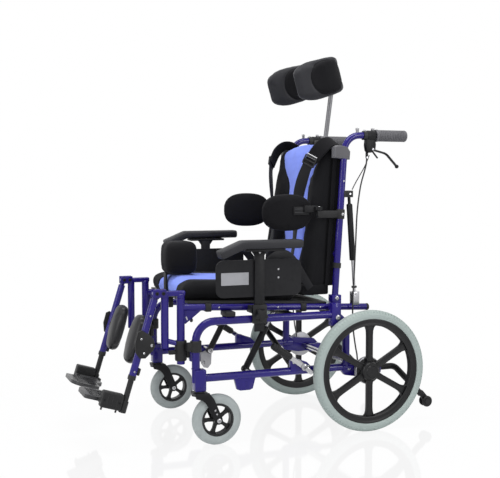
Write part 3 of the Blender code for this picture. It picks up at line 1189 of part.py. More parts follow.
both_sides("side_frame", make_side_frame(), "frame_blue")
finish("cross_frame", make_cross_frame(), "black_metal")
finish("rear_axle", make_rear_axle(), "silver")
swivel = (RAIL_X, SWIVEL_Y, CASTER_CROWN_Z)
both_sides("caster_fork", make_caster_fork(), "black_metal", swivel)
both_sides("caster_wheel", make_caster_wheel(), "tyre_grey", (RAIL_X, CASTER_Y, CASTER_RADIUS))
both_sides("rear_wheel", make_rear_wheel(), "black_plastic", (WHEEL_X, 0.0, AXLE_Z))
both_sides("rear_tyre", make_rear_tyre(), "tyre_grey", (WHEEL_X, 0.0, AXLE_Z))
both_sides("anti_tip_tube", make_anti_tip_tube(), "black_metal")
both_sides("anti_tip_roller", make_anti_tip_roller(), "black_plastic", (SEAT_X, ROLLER_Y, ROLLER_Z))
both_sides("parking_brake", make_parking_brake(), "black_plastic", (BRAKE_GRIP_X, BRAKE_Y, BRAKE_Z))

strut_low = (STRUT_X, STRUT_LOW_Y, STRUT_LOW_Z)
both_sides("tilt_cylinder", make_tilt_cylinder(), "black_metal", strut_low)
both_sides("tilt_rod", make_tilt_rod(), "silver", strut_low)
tilt_pivot = (SEAT_X, TILT_PIVOT_Y, TILT_PIVOT_Z)
both_sides("seat_rail", make_seat_rail(), "frame_blue", tilt_pivot)
finish("seat_pan", make_seat_pan(), "black_plastic", (0.0, TILT_PIVOT_Y, TILT_PIVOT_Z))
finish("seat_cushion", make_seat_cushion(), "blue_cloth", (0.0, TILT_PIVOT_Y, TILT_PIVOT_Z))
finish("pommel", make_pommel(), "black_cloth", (0.0, STEM_FRONT_Y, 0.3850))
both_sides("armrest_post", make_armrest_post(), "black_metal", (POST_INNER_X, POST_REAR_Y, POST_BOTTOM_Z))
both_sides("armrest_pad", make_armrest_pad(), "arm_foam", (POST_INNER_X, POST_REAR_Y, POST_BOTTOM_Z))
both_sides("side_panel", make_side_panel(), "black_plastic", (POST_INNER_X, POST_REAR_Y, POST_BOTTOM_Z))

both_sides("hanger", make_hanger(), "frame_blue", (SEAT_X, SEAT_FRONT_Y, RECEIVER_TOP_Z))
both_sides("leg_tube", make_leg_tube(), "frame_blue", (SEAT_X, KNEE_Y, KNEE_Z))
both_sides("leg_slide", make_leg_slide(), "black_metal", tuple(leg_point(LEG_BLOCK_START)))
foot_hinge = tuple(leg_point(FOOT_AXIS_DOWN, 0.0, FOOT_HINGE_X))
both_sides("footplate", make_footplate(), "black_plastic", foot_hinge)
both_sides("calf_pad", make_calf_pad(), "black_cloth", tuple(leg_point(CALF_DOWN)))

back_hinge = (0.0, HINGE_Y, HINGE_Z)
finish("back_frame", make_back_frame(), "frame_blue", back_hinge)
finish("back_cushion", make_back_cushion(), "blue_cloth", back_hinge)
both_sides("hand_grip", make_hand_grip(), "black_plastic", (SEAT_X, GRIP_FRONT_Y, HANDLE_Z))
both_sides("hand_brake_lever", make_hand_brake_lever(), "black_metal", (SEAT_X, LEVER_Y, LEVER_Z))
gas_low = (SEAT_X, GAS_LOW_Y, GAS_LOW_Z)
both_sides("recline_rod", make_recline_rod(), "silver", gas_low)
both_sides("recline_cylinder", make_recline_cylinder(), "black_metal", gas_low)
both_sides("lateral_support", make_lateral_support(), "black_cloth", (SEAT_X, LATERAL_Y, LATERAL_Z))
head_pivot = tuple(head_bar_point(HEAD_PIVOT_Z))
finish("headrest_bar", make_headrest_bar(), "silver", tuple(head_bar_point(HEAD_BAR_Z)))
finish("headrest_pad", make_headrest_pad(), "black_cloth", head_pivot)
both_sides("brake_cable", make_brake_cable(), "black_plastic")
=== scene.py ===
# %% [markdown]
# # A tilting wheelchair, dressed for its photograph
#
# The solids of the chair come ready made and already move on their joints. This lesson gives
# them their looks. Tubes are swept again with more sides, wheels and small fittings are spun and
# bevelled, and every cushion is sewn, filled and puffed up by a cloth simulation. Lengths are in
# metres. The chair faces -Y, its left side is +X and the floor is z = 0.

# %% Imports and the frame
import json

from math import atan2, cos, exp, pi, radians, sin, tan

import bmesh
import bpy
from mathutils import Matrix, Vector

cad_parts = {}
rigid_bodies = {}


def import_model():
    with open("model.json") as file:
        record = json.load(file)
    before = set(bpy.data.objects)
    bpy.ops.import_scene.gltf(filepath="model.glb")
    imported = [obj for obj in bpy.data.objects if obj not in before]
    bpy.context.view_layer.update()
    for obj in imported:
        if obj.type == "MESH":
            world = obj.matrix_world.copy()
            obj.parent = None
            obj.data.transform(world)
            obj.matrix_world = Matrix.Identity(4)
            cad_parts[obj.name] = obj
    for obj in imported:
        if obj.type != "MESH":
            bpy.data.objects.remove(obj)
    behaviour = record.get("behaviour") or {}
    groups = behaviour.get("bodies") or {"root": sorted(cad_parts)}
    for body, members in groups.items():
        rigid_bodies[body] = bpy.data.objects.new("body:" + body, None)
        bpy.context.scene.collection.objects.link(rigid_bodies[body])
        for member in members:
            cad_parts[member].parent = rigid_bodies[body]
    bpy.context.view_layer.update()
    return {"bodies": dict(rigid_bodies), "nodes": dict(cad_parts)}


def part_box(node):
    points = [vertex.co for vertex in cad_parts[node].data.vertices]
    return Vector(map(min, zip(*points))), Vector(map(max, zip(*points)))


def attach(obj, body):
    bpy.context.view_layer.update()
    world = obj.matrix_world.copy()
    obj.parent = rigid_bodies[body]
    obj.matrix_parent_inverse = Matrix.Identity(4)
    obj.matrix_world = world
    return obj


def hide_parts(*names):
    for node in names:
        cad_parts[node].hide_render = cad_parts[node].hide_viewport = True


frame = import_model()

# %% [markdown]
# ## Where things are
#
# The chair was measured from its rear axle: y runs back from the axle and z up from the floor.
# The same two habits are kept here, so a piece is made round the axle and pushed back by one
# shift at the end. The shift is read from the solids, so that it can't disagree with them. The
# axes that several pieces turn on are named once, for the left side.

# %% The shift from the axle to the shared frame
axle_low, axle_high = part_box("rear_axle")
AXLE_SHIFT = (axle_low[1] + axle_high[1]) / 2
print("axle stands at y =", round(AXLE_SHIFT, 4))

# %% Places on the left side that several pieces share
SEAT_X = 0.2125
STRUT_X = 0.1786
STRUT_LOW = Vector((STRUT_X, -0.396, 0.216))
STRUT_HIGH = Vector((STRUT_X, -0.294, 0.404))
TILT_HINGE = Vector((SEAT_X, -0.1046, 0.378))
BACK_HINGE = Vector((SEAT_X, -0.0929, 0.437))
GAS_LOW = Vector((SEAT_X, -0.0202, 0.447))
GAS_HIGH = Vector((SEAT_X, -0.044, 0.778))
KNEE = Vector((SEAT_X, -0.7, 0.4774))
LEVER_PIVOT = Vector((SEAT_X, 0.04, 0.925))
ARM_POST_Y = -0.3815

# %% [markdown]
# ## The camera
#
# The photograph was taken from the chair's left front, a little above seat height and almost
# level. Fitting the wheels' ellipses and the heights of both sides gave the direction, the
# distance and the lens. The picture's middle is the lens's middle, so nothing is shifted.

# %% Camera at the photograph's place
CAMERA_TURN = 68.72
CAMERA_DIP = 3.494
CAMERA_PLACE = (2.891, -1.4358 + AXLE_SHIFT, 0.8125)
FOCAL_PIXELS = 911.3
PHOTO_WIDTH = 500
SENSOR = 36.0

camera_data = bpy.data.cameras.new("camera")
camera_data.sensor_fit = "HORIZONTAL"
camera_data.sensor_width = SENSOR
camera_data.lens = FOCAL_PIXELS / PHOTO_WIDTH * SENSOR
camera = bpy.data.objects.new("camera", camera_data)
bpy.context.scene.collection.objects.link(camera)
camera.location = CAMERA_PLACE
camera.rotation_euler = (radians(90.0 - CAMERA_DIP), 0.0, radians(CAMERA_TURN))
bpy.context.scene.camera = camera
print("lens:", round(camera_data.lens, 1), "mm")

# %% [markdown]
# ## The studio
#
# A catalogue photograph has a white sweep and large soft lamps, so the tubes show long pale
# streaks and the shadows are faint. Two narrow boxes stand left and right of the camera, a long
# strip hangs above, and the world fills the rest. The white background is only what the camera,
# gloss and glass see, so it lights nothing. The floor is white in the same way, with a thin share
# of mirror for the wheels' faint reflections and, near the chair, of real paint for its shadow.

# %% Lamps
bpy.context.scene.view_settings.view_transform = "Standard"


def lamp(name, place, target, size, power):
    data = bpy.data.lights.new(name, "AREA")
    data.shape = "RECTANGLE"
    data.size, data.size_y = size
    data.energy = power
    holder = bpy.data.objects.new(name, data)
    bpy.context.scene.collection.objects.link(holder)
    holder.location = place
    aim = Vector(target) - Vector(place)
    holder.rotation_euler = aim.to_track_quat("-Z", "Y").to_euler()


lamp("overhead_softbox", (0.4, -0.2, 3.0), (0.0, 0.0, 0.5), (2.2, 0.8), 46.0)
lamp("side_softbox", (2.6, 1.4, 1.6), (0.0, 0.0, 0.6), (0.5, 1.8), 18.0)
lamp("front_softbox", (1.2, -3.0, 1.7), (0.0, 0.0, 0.6), (0.6, 1.8), 24.0)


# %% Helpers for the backdrop
def seeing_rays(tree):
    """1 for rays that look at the backdrop: from the camera, from gloss or through glass."""
    path = tree.nodes.new("ShaderNodeLightPath")
    result = path.outputs["Is Camera Ray"]
    for label in ("Is Glossy Ray", "Is Transmission Ray"):
        larger = tree.nodes.new("ShaderNodeMath")
        larger.operation = "MAXIMUM"
        tree.links.new(result, larger.inputs[0])
        tree.links.new(path.outputs[label], larger.inputs[1])
        result = larger.outputs[0]
    return result


def shader_mix(tree, factor, first, second):
    """Mix of two shaders' outputs; the factor is a number or a socket."""
    mix = tree.nodes.new("ShaderNodeMixShader")
    if isinstance(factor, float):
        mix.inputs["Fac"].default_value = factor
    else:
        tree.links.new(factor, mix.inputs["Fac"])
    tree.links.new(first, mix.inputs[1])
    tree.links.new(second, mix.inputs[2])
    return mix.outputs[0]


def background(tree, colour, strength):
    node = tree.nodes.new("ShaderNodeBackground")
    node.inputs["Color"].default_value = (*colour, 1.0)
    node.inputs["Strength"].default_value = strength
    return node.outputs[0]


def mesh_object(name, bm):
    mesh = bpy.data.meshes.new(name)
    bm.to_mesh(mesh)
    bm.free()
    obj = bpy.data.objects.new(name, mesh)
    bpy.context.scene.collection.objects.link(obj)
    return obj


# %% World
world = bpy.data.worlds.new("studio")
world.use_nodes = True
bpy.context.scene.world = world
world_tree = world.node_tree
world_tree.nodes.clear()
world_out = world_tree.nodes.new("ShaderNodeOutputWorld")
world_fill = background(world_tree, (0.95, 0.97, 1.0), 0.5)
world_seen = background(world_tree, (1.0, 1.0, 1.0), 1.0)
world_mix = shader_mix(world_tree, seeing_rays(world_tree), world_fill, world_seen)
world_tree.links.new(world_mix, world_out.inputs["Surface"])

# %% Floor
FLOOR_SIZE = 24.0
floor_bm = bmesh.new()
bmesh.ops.create_grid(floor_bm, x_segments=1, y_segments=1, size=FLOOR_SIZE / 2)
floor = mesh_object("floor", floor_bm)
floor_look = bpy.data.materials.new("floor_white")
floor_look.use_nodes = True
floor_tree = floor_look.node_tree
floor_shader = floor_tree.nodes["Principled BSDF"]
floor_shader.inputs["Base Color"].default_value = (0.9, 0.9, 0.92, 1.0)
floor_shader.inputs["Roughness"].default_value = 0.6
floor_white = floor_tree.nodes.new("ShaderNodeEmission")
floor_mirror = floor_tree.nodes.new("ShaderNodeBsdfGlossy")
floor_mirror.inputs["Color"].default_value = (1.0, 1.0, 1.0, 1.0)
floor_mirror.inputs["Roughness"].default_value = 0.05
floor_place = floor_tree.nodes.new("ShaderNodeTexCoord")
floor_away = floor_tree.nodes.new("ShaderNodeVectorMath")
floor_away.operation = "LENGTH"
floor_tree.links.new(floor_place.outputs["Object"], floor_away.inputs[0])
floor_near = floor_tree.nodes.new("ShaderNodeMapRange")
floor_near.interpolation_type = "SMOOTHSTEP"
for label, value in (("From Min", 0.7), ("From Max", 1.7), ("To Min", 0.04), ("To Max", 0.0)):
    floor_near.inputs[label].default_value = value
floor_tree.links.new(floor_away.outputs["Value"], floor_near.inputs["Value"])

floor_sheet = shader_mix(floor_tree, 0.09, floor_white.outputs[0], floor_mirror.outputs[0])
floor_seen = shader_mix(floor_tree, floor_near.outputs["Result"], floor_sheet, floor_shader.outputs[0])
floor_all = shader_mix(floor_tree, seeing_rays(floor_tree), floor_shader.outputs[0], floor_seen)
floor_tree.links.new(floor_all, floor_tree.nodes["Material Output"].inputs["Surface"])
floor.data.materials.append(floor_look)

# %% [markdown]
# ## Shapes that the whole chair shares
#
# Nearly everything on a wheelchair is a bent tube, a turned part or a rounded block, so a few
# small helpers do most of the work. A tube starts as one circle that is extruded from point to
# point along its route, turning as it goes. A turned part is a profile that is spun round its
# axis. A block is a cube whose edges are bevelled, because a real edge always catches light.

# %% Helpers for blocks and turned parts
ACROSS = Vector((1, 0, 0))


def about(middle, half):
    """Range with a half width about its middle."""
    return middle - half, middle + half


def beside(place, x):
    """Point at x on the line across the chair through a place."""
    return Vector((x, place.y, place.z))


def bevelled(bm, geom, offset, segments, affect="EDGES"):
    bmesh.ops.bevel(bm, geom=geom, offset=offset, segments=segments, affect=affect, profile=0.5,
                    material=-1)


def block(x_range, y_range, z_range, soft=0.0015, segments=2):
    bm = bmesh.new()
    bmesh.ops.create_cube(bm, size=1.0)
    ranges = (x_range, y_range, z_range)
    bmesh.ops.scale(bm, verts=bm.verts, vec=[high - low for low, high in ranges])
    bmesh.ops.translate(bm, verts=bm.verts, vec=[(high + low) / 2 for low, high in ranges])
    bevelled(bm, bm.edges[:], soft, segments)
    return bm


def aimed(place, axis):
    """Matrix that takes +Z to an axis and the origin to a place."""
    turn = Vector((0, 0, 1)).rotation_difference(Vector(axis)).to_matrix().to_4x4()
    return Matrix.Translation(place) @ turn


def turned(profile, place, axis, steps=32, closed=False):
    """Spin (distance along the axis, radius) points round an axis through a place."""
    bm = bmesh.new()
    points = [bm.verts.new((radius, 0.0, along)) for along, radius in profile]
    edges = [bm.edges.new(pair) for pair in zip(points, points[1:])]
    if closed:
        edges.append(bm.edges.new((points[-1], points[0])))
    bmesh.ops.spin(bm, geom=points + edges, cent=(0, 0, 0), axis=(0, 0, 1), angle=2 * pi,
                   steps=steps, use_merge=True)
    bmesh.ops.remove_doubles(bm, verts=bm.verts, dist=1e-6)
    bmesh.ops.transform(bm, matrix=aimed(place, axis), verts=bm.verts)
    bmesh.ops.recalc_face_normals(bm, faces=bm.faces)
    return bm


def rod(start, end, radius, soft=0.0008, steps=24):
    """Straight round bar with softened ends."""
    start, end = Vector(start), Vector(end)
    length = (end - start).length
    soft = min(soft, radius / 2, length / 3)
    profile = [(0, 0), (0, radius - soft), (soft, radius), (length - soft, radius),
               (length, radius - soft), (length, 0)]
    return turned(profile, start, end - start, steps)


def cross_pin(place, reach, radius, soft=0.0008):
    """Round bar along x, such as an eye or a pin, that reaches as far to both sides of a place."""
    return rod(place - ACROSS * reach, place + ACROSS * reach, radius, soft)


def both_sides(profile):
    """Profile of a part that looks the same from left and right, out of its half."""
    return profile + [(-along, radius) for along, radius in reversed(profile) if along]


def bolt(place, axis, size=0.006, height=0.0035):
    """Dome-headed screw with a hexagonal socket."""
    return turned([(0, 0), (0, size), (height * 0.55, size), (height, size * 0.62), (height, size * 0.42),
                   (height * 0.4, size * 0.36), (height * 0.4, 0)], place, axis, 18)


# %% Helpers for tubes and plates
def rounded(path, bend, steps=8):
    """Replace the inner corners of a path with arcs of the bend radius."""
    points = [Vector(point) for point in path]
    result = [points[0]]
    for before, corner, after in zip(points, points[1:], points[2:]):
        back = (before - corner).normalized()
        on = (after - corner).normalized()
        half = back.angle(on) / 2
        reach = bend / tan(half)
        centre = corner + (back + on).normalized() * bend / sin(half)
        first = corner + back * reach - centre
        last = corner + on * reach - centre
        normal = first.cross(last).normalized()
        for step in range(steps + 1):
            turn = Matrix.Rotation(first.angle(last) * step / steps, 3, normal)
            result.append(centre + turn @ first)
    result.append(points[-1])
    return result


# %% Helpers for swept shapes
def next_ring(bm, ring, matrix):
    """Extrude a ring of edges, put the new ring in place with a matrix and return its edges."""
    made = bmesh.ops.extrude_edge_only(bm, edges=ring)
    moved = [item for item in made["geom"] if isinstance(item, bmesh.types.BMVert)]
    bmesh.ops.transform(bm, matrix=matrix, verts=moved)
    fresh = set(moved)
    return [item for item in made["geom"] if isinstance(item, bmesh.types.BMEdge)
            and item.verts[0] in fresh and item.verts[1] in fresh]


def swept(bm, ring, points):
    """Extrude a ring that lies round the first point through all the others, then cap it."""
    directions = [(after - before).normalized() for before, after in zip(points, points[1:])]
    facing = directions[0]
    bmesh.ops.edgeloop_fill(bm, edges=ring)
    for number in range(1, len(points)):
        ahead = directions[min(number, len(directions) - 1)]
        wanted = (directions[number - 1] + ahead).normalized()
        turn = facing.rotation_difference(wanted).to_matrix().to_4x4()
        step = Matrix.Translation(points[number]) @ turn @ Matrix.Translation(-points[number - 1])
        ring = next_ring(bm, ring, step)
        facing = wanted
    bmesh.ops.edgeloop_fill(bm, edges=ring)
    bmesh.ops.recalc_face_normals(bm, faces=bm.faces)
    return bm


def tube(path, radius, bend=0.0, sides=20):
    """Bent round bar swept along a path."""
    points = rounded(path, bend) if bend else [Vector(point) for point in path]
    bm = bmesh.new()
    bmesh.ops.create_circle(bm, cap_ends=False, segments=sides, radius=radius)
    bmesh.ops.transform(bm, matrix=aimed(points[0], points[1] - points[0]), verts=bm.verts)
    return swept(bm, bm.edges[:], points)


def band(path, width, thickness, flat=(1, 0, 0), soft=0.0008, segments=1):
    """Flat strap swept along a path; flat is the direction of its width at the start."""
    points = [Vector(point) for point in path]
    along = (points[1] - points[0]).normalized()
    across = (Vector(flat) - along * Vector(flat).dot(along)).normalized()
    up = along.cross(across)
    turn = Matrix((across, up, along)).transposed().to_4x4()
    bm = bmesh.new()
    bmesh.ops.create_grid(bm, x_segments=1, y_segments=1, size=0.5)
    bmesh.ops.scale(bm, verts=bm.verts, vec=(width, thickness, 1.0))
    bevelled(bm, bm.verts[:], min(soft, thickness * 0.4), segments, "VERTICES")
    bmesh.ops.delete(bm, geom=bm.faces[:], context="FACES_ONLY")
    bmesh.ops.transform(bm, matrix=Matrix.Translation(points[0]) @ turn, verts=bm.verts)
    return swept(bm, bm.edges[:], points)


# %% Helpers for plates and for joining shapes
def thickened(bm, faces, move):
    """Extrude a sheet's faces together and move the new ones away."""
    made = bmesh.ops.extrude_face_region(bm, geom=faces)
    moved = [item for item in made["geom"] if isinstance(item, bmesh.types.BMVert)]
    bmesh.ops.translate(bm, verts=moved, vec=move)


def plate(outline, low, high, soft=0.001, segments=2):
    """Flat plate: an outline of (y, z) points with a thickness from x = low to x = high."""
    bm = bmesh.new()
    face = bm.faces.new([bm.verts.new((low, y, z)) for y, z in outline])
    thickened(bm, [face], (high - low, 0.0, 0.0))
    bmesh.ops.recalc_face_normals(bm, faces=bm.faces)
    rims = [edge for edge in bm.edges if abs(edge.verts[0].co.x - edge.verts[1].co.x) < 1e-6]
    bevelled(bm, rims, soft, segments)
    return bm


def joined(*shapes):
    """Put several shapes into the first one's mesh."""
    whole = shapes[0]
    for shape in shapes[1:]:
        carrier = bpy.data.meshes.new("carrier")
        shape.to_mesh(carrier)
        shape.free()
        whole.from_mesh(carrier)
        bpy.data.meshes.remove(carrier)
    return whole


# %% [markdown]
# ## Handing a piece over
#
# A piece needs four things: a mesh that sits where the chair needs it, a finish, the body that
# carries it, and the solid that it stands for, if it stands for one. Most of the chair is the
# same left and right, so a second helper makes the left piece and its mirror image.


# %% Helpers that register pieces
SMOOTH_BELOW = radians(38.0)


def add_piece(name, bm, look, body, stands_for=()):
    bmesh.ops.translate(bm, verts=bm.verts, vec=(0.0, AXLE_SHIFT, 0.0))
    piece = mesh_object(name, bm)
    piece.data.materials.append(look)
    piece.data.shade_smooth()
    piece.data.set_sharp_from_angle(angle=SMOOTH_BELOW)
    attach(piece, body)
    if stands_for:
        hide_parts(*stands_for)
    print(name, "has", len(piece.data.polygons), "faces")
    return piece


def add_pair(name, build, look, body, stands_for=()):
    """Left piece and its mirror image; names of bodies and solids take _L or _R if they need it."""
    made = []
    for side in ("L", "R"):
        bm = build()
        if side == "R":
            bmesh.ops.scale(bm, verts=bm.verts, vec=(-1.0, 1.0, 1.0))
            bmesh.ops.reverse_faces(bm, faces=bm.faces)
        carrier = body if body in frame["bodies"] else body + "_" + side
        solids = [solid + "_" + side for solid in stands_for]
        made.append(add_piece(name + "_" + side, bm, look, carrier, solids))
    return made


# %% [markdown]
# ## Effects that several finishes share
#
# A finish that is one flat colour looks like a drawing. Four effects cover what is needed here:
# a fine grain, worn edges, uneven dulling and a cloth's cells. Each is a node group with named
# sockets, built once and then placed in each material with its own values.


# %% Helpers for node groups
FLOAT = "NodeSocketFloat"


def node_group(name, values, outputs):
    """Empty shader group with a Vector, named float inputs with their values, and float outputs."""
    group = bpy.data.node_groups.new(name, "ShaderNodeTree")
    group.interface.new_socket("Vector", in_out="INPUT", socket_type="NodeSocketVector")
    for label, value in values.items():
        socket = group.interface.new_socket(label, in_out="INPUT", socket_type=FLOAT)
        socket.default_value = value
    for label in outputs:
        group.interface.new_socket(label, in_out="OUTPUT", socket_type=FLOAT)
    return group, group.nodes.new("NodeGroupInput"), group.nodes.new("NodeGroupOutput")


def fed(group, entry, kind, sources):
    """New node in a group; sources name the group's input that feeds each of its own."""
    node = group.nodes.new(kind)
    for label, source in sources.items():
        group.links.new(entry.outputs[source], node.inputs[label])
    return node


def math_node(tree, operation, first, second):
    """Math node; each operand is a socket or a number. Returns its output socket."""
    node = tree.nodes.new("ShaderNodeMath")
    node.operation = operation
    for slot_number, operand in enumerate((first, second)):
        if isinstance(operand, bpy.types.NodeSocket):
            tree.links.new(operand, node.inputs[slot_number])
        else:
            node.inputs[slot_number].default_value = operand
    return node.outputs[0]


# %% Grain and worn edges
grain_group, entry, leave = node_group("fine_grain", {"Scale": 400.0, "Detail": 3.0}, ["Value"])
grain_inputs = {"Vector": "Vector", "Scale": "Scale", "Detail": "Detail"}
noise = fed(grain_group, entry, "ShaderNodeTexNoise", grain_inputs)
grain_group.links.new(noise.outputs["Fac"], leave.inputs["Value"])

wear_group, entry, leave = node_group("edge_wear", {"Edge": 0.53, "Amount": 0.5}, ["Mask"])
geometry = wear_group.nodes.new("ShaderNodeNewGeometry")
sharp = math_node(wear_group, "SUBTRACT", geometry.outputs["Pointiness"], entry.outputs["Edge"])
strong = math_node(wear_group, "MULTIPLY", sharp, 30.0)
patches = fed(wear_group, entry, "ShaderNodeTexNoise", {"Vector": "Vector"})
patches.inputs["Scale"].default_value = 90.0
broken = math_node(wear_group, "MULTIPLY", strong, patches.outputs["Fac"])
limited = math_node(wear_group, "MINIMUM", math_node(wear_group, "MAXIMUM", broken, 0.0), 1.0)
mask = math_node(wear_group, "MULTIPLY", limited, entry.outputs["Amount"])
wear_group.links.new(mask, leave.inputs["Mask"])

# %% Uneven dulling and cloth cells
smudge_group, entry, leave = node_group("smudge", {"Scale": 14.0, "Low": 0.3, "High": 0.5}, ["Value"])
clouds = fed(smudge_group, entry, "ShaderNodeTexNoise", {"Vector": "Vector", "Scale": "Scale"})
clouds.inputs["Detail"].default_value = 5.0
spread = fed(smudge_group, entry, "ShaderNodeMapRange", {"To Min": "Low", "To Max": "High"})
spread.inputs["From Min"].default_value = 0.35
spread.inputs["From Max"].default_value = 0.65
smudge_group.links.new(clouds.outputs["Fac"], spread.inputs["Value"])
smudge_group.links.new(spread.outputs["Result"], leave.inputs["Value"])

cell_group, entry, leave = node_group("cloth_cells", {"Scale": 420.0, "Uneven": 0.2}, ["Height", "Hole"])
cell_inputs = {"Vector": "Vector", "Scale": "Scale", "Randomness": "Uneven"}
cells = fed(cell_group, entry, "ShaderNodeTexVoronoi", cell_inputs)
cell_group.links.new(cells.outputs["Distance"], leave.inputs["Height"])
hole = math_node(cell_group, "LESS_THAN", cells.outputs["Distance"], 0.22)
cell_group.links.new(hole, leave.inputs["Hole"])
print("groups:", [group.name for group in bpy.data.node_groups])

# %% [markdown]
# ## Finishes
#
# The photograph shows a deep violet-blue gloss paint on the tubes, black powder coat on brackets,
# two greys of rubber, moulded black plastic, bright plated steel, and cloth in bright blue and
# black. Each finish below starts from one Principled shader. Colour and roughness vary over the
# surface through the groups; what is the same everywhere is set on the shader itself.


# %% Helpers for materials
def new_look(name, metallic=0.0, **sockets):
    """Material with a Principled shader; returns it with its tree, shader and Object coordinates."""
    look = bpy.data.materials.new(name)
    look.use_nodes = True
    tree = look.node_tree
    shader = tree.nodes["Principled BSDF"]
    shader.inputs["Metallic"].default_value = metallic
    for label, value in sockets.items():
        shader.inputs[label.replace("_", " ")].default_value = value
    coordinates = tree.nodes.new("ShaderNodeTexCoord")
    return look, tree, shader, coordinates.outputs["Object"]


def placed(tree, group, vector, **values):
    """Place a node group in a material, with its vector joined and its values set."""
    node = tree.nodes.new("ShaderNodeGroup")
    node.node_tree = group
    tree.links.new(vector, node.inputs["Vector"])
    for label, value in values.items():
        node.inputs[label].default_value = value
    return node


def colour_mix(tree, factor, first, second):
    """Mix of two colours by a factor socket; colours are sockets or RGB values."""
    mix = tree.nodes.new("ShaderNodeMix")
    mix.data_type = "RGBA"
    tree.links.new(factor, mix.inputs["Factor"])
    for socket, value in ((mix.inputs[6], first), (mix.inputs[7], second)):
        if isinstance(value, bpy.types.NodeSocket):
            tree.links.new(value, socket)
        else:
            socket.default_value = (*value, 1.0)
    return mix.outputs[2]


def bumped(tree, shader, height, strength, distance):
    """Feed a height to the shader's normal through a Bump node."""
    bump = tree.nodes.new("ShaderNodeBump")
    bump.inputs["Strength"].default_value = strength
    bump.inputs["Distance"].default_value = distance
    tree.links.new(height, bump.inputs["Height"])
    tree.links.new(bump.outputs["Normal"], shader.inputs["Normal"])


# %% Helper for paint, metal, plastic and rubber
def plain_look(name, colour, worn, roughness=(0.35, 0.5), metallic=0.0, grain=(500.0, 0.1, 0.0003),
               wear=0.3, **sockets):
    """Finish with a slightly uneven colour, worn edges, uneven dulling and a fine grain."""
    look, tree, shader, place = new_look(name, metallic, **sockets)
    uneven = placed(tree, smudge_group, place, Scale=22.0, Low=0.0, High=1.0)
    deeper = tuple(channel * 0.86 for channel in colour)
    base = colour_mix(tree, uneven.outputs["Value"], deeper, colour)
    edges = placed(tree, wear_group, place, Amount=wear)
    tree.links.new(colour_mix(tree, edges.outputs["Mask"], base, worn), shader.inputs["Base Color"])
    dulled = placed(tree, smudge_group, place, Scale=9.0, Low=roughness[0], High=roughness[1])
    tree.links.new(dulled.outputs["Value"], shader.inputs["Roughness"])
    scale, strength, distance = grain
    fine = placed(tree, grain_group, place, Scale=scale)
    bumped(tree, shader, fine.outputs["Value"], strength, distance)
    return look


# %% Paint, metal, plastic and rubber
frame_paint = plain_look(
    "violet_blue_paint", (0.012, 0.004, 0.17), (0.05, 0.04, 0.28), (0.24, 0.36),
    grain=(900.0, 0.05, 0.0002), wear=0.15, Coat_Weight=0.4, Coat_Roughness=0.04, Specular_IOR_Level=0.15)
black_coat = plain_look("black_powder_coat", (0.005, 0.005, 0.006), (0.04, 0.04, 0.044), (0.38, 0.52),
                        grain=(1400.0, 0.2, 0.0003), wear=0.25, Specular_IOR_Level=0.2)
black_plastic = plain_look("black_moulded_plastic", (0.009, 0.009, 0.01), (0.05, 0.05, 0.05),
                           (0.4, 0.56), grain=(1100.0, 0.25, 0.0003), wear=0.25, Specular_IOR_Level=0.28)
panel_plastic = plain_look("grey_black_panel", (0.012, 0.012, 0.014), (0.035, 0.035, 0.036), (0.46, 0.6),
                           grain=(1600.0, 0.35, 0.0003), wear=0.2, Specular_IOR_Level=0.16)
plated_steel = plain_look("plated_steel", (0.36, 0.36, 0.38), (0.6, 0.6, 0.61), (0.16, 0.3),
                          metallic=1.0, grain=(700.0, 0.05, 0.0002), wear=0.5)
brushed_steel = plain_look("brushed_steel", (0.2, 0.2, 0.21), (0.34, 0.34, 0.35), (0.42, 0.54),
                           metallic=0.9, grain=(1200.0, 0.2, 0.0003), wear=0.2, Specular_IOR_Level=0.3)
cast_alloy = plain_look("cast_alloy", (0.36, 0.36, 0.38), (0.56, 0.56, 0.58), (0.34, 0.5),
                        metallic=0.9, grain=(500.0, 0.25, 0.0005), wear=0.4)
label_plate = plain_look("bare_label_plate", (0.36, 0.36, 0.38), (0.6, 0.6, 0.62), (0.46, 0.58),
                         grain=(900.0, 0.03, 0.0002), wear=0.1)
wheel_plastic = plain_look("wheel_plastic", (0.012, 0.012, 0.013), (0.07, 0.07, 0.07), (0.34, 0.5),
                           grain=(1000.0, 0.2, 0.0003), wear=0.25, Specular_IOR_Level=0.26)
caster_rubber = plain_look("caster_rubber", (0.43, 0.47, 0.46), (0.56, 0.6, 0.59), (0.6, 0.76),
                           grain=(800.0, 0.2, 0.0003), wear=0.3)
arm_skin = plain_look("arm_foam_skin", (0.024, 0.024, 0.028), (0.06, 0.06, 0.065), (0.46, 0.62),
                      grain=(1300.0, 0.45, 0.0004), wear=0.2, Specular_IOR_Level=0.28)
tread_plastic = plain_look("tread_plastic", (0.026, 0.026, 0.028), (0.09, 0.09, 0.095), (0.26, 0.38),
                           grain=(700.0, 0.04, 0.0002), wear=0.1, Specular_IOR_Level=0.5)
calf_skin = plain_look("calf_pad_skin", (0.014, 0.014, 0.016), (0.05, 0.05, 0.052), (0.3, 0.44),
                       grain=(700.0, 0.3, 0.0004), wear=0.15, Specular_IOR_Level=0.32)
cable_cover = plain_look("cable_cover", (0.01, 0.01, 0.011), (0.05, 0.05, 0.05), (0.34, 0.46),
                         grain=(900.0, 0.1, 0.0002), wear=0.1)
grip_rubber = plain_look("grip_rubber", (0.095, 0.093, 0.102), (0.19, 0.19, 0.2), (0.46, 0.62),
                         grain=(1500.0, 0.4, 0.0003), wear=0.35)

# %% [markdown]
# ## The rear tyres' rubber
#
# The rear tyres are a solid grey-green rubber with fine ribs across both shoulders. The ribs are
# cut in the mesh, so the rubber needs only its grain and a little road dust, which gathers on
# the tread. The tread is where the distance from the wheel's axis is largest, and one Mapping
# node puts that axis at the origin of the pattern.

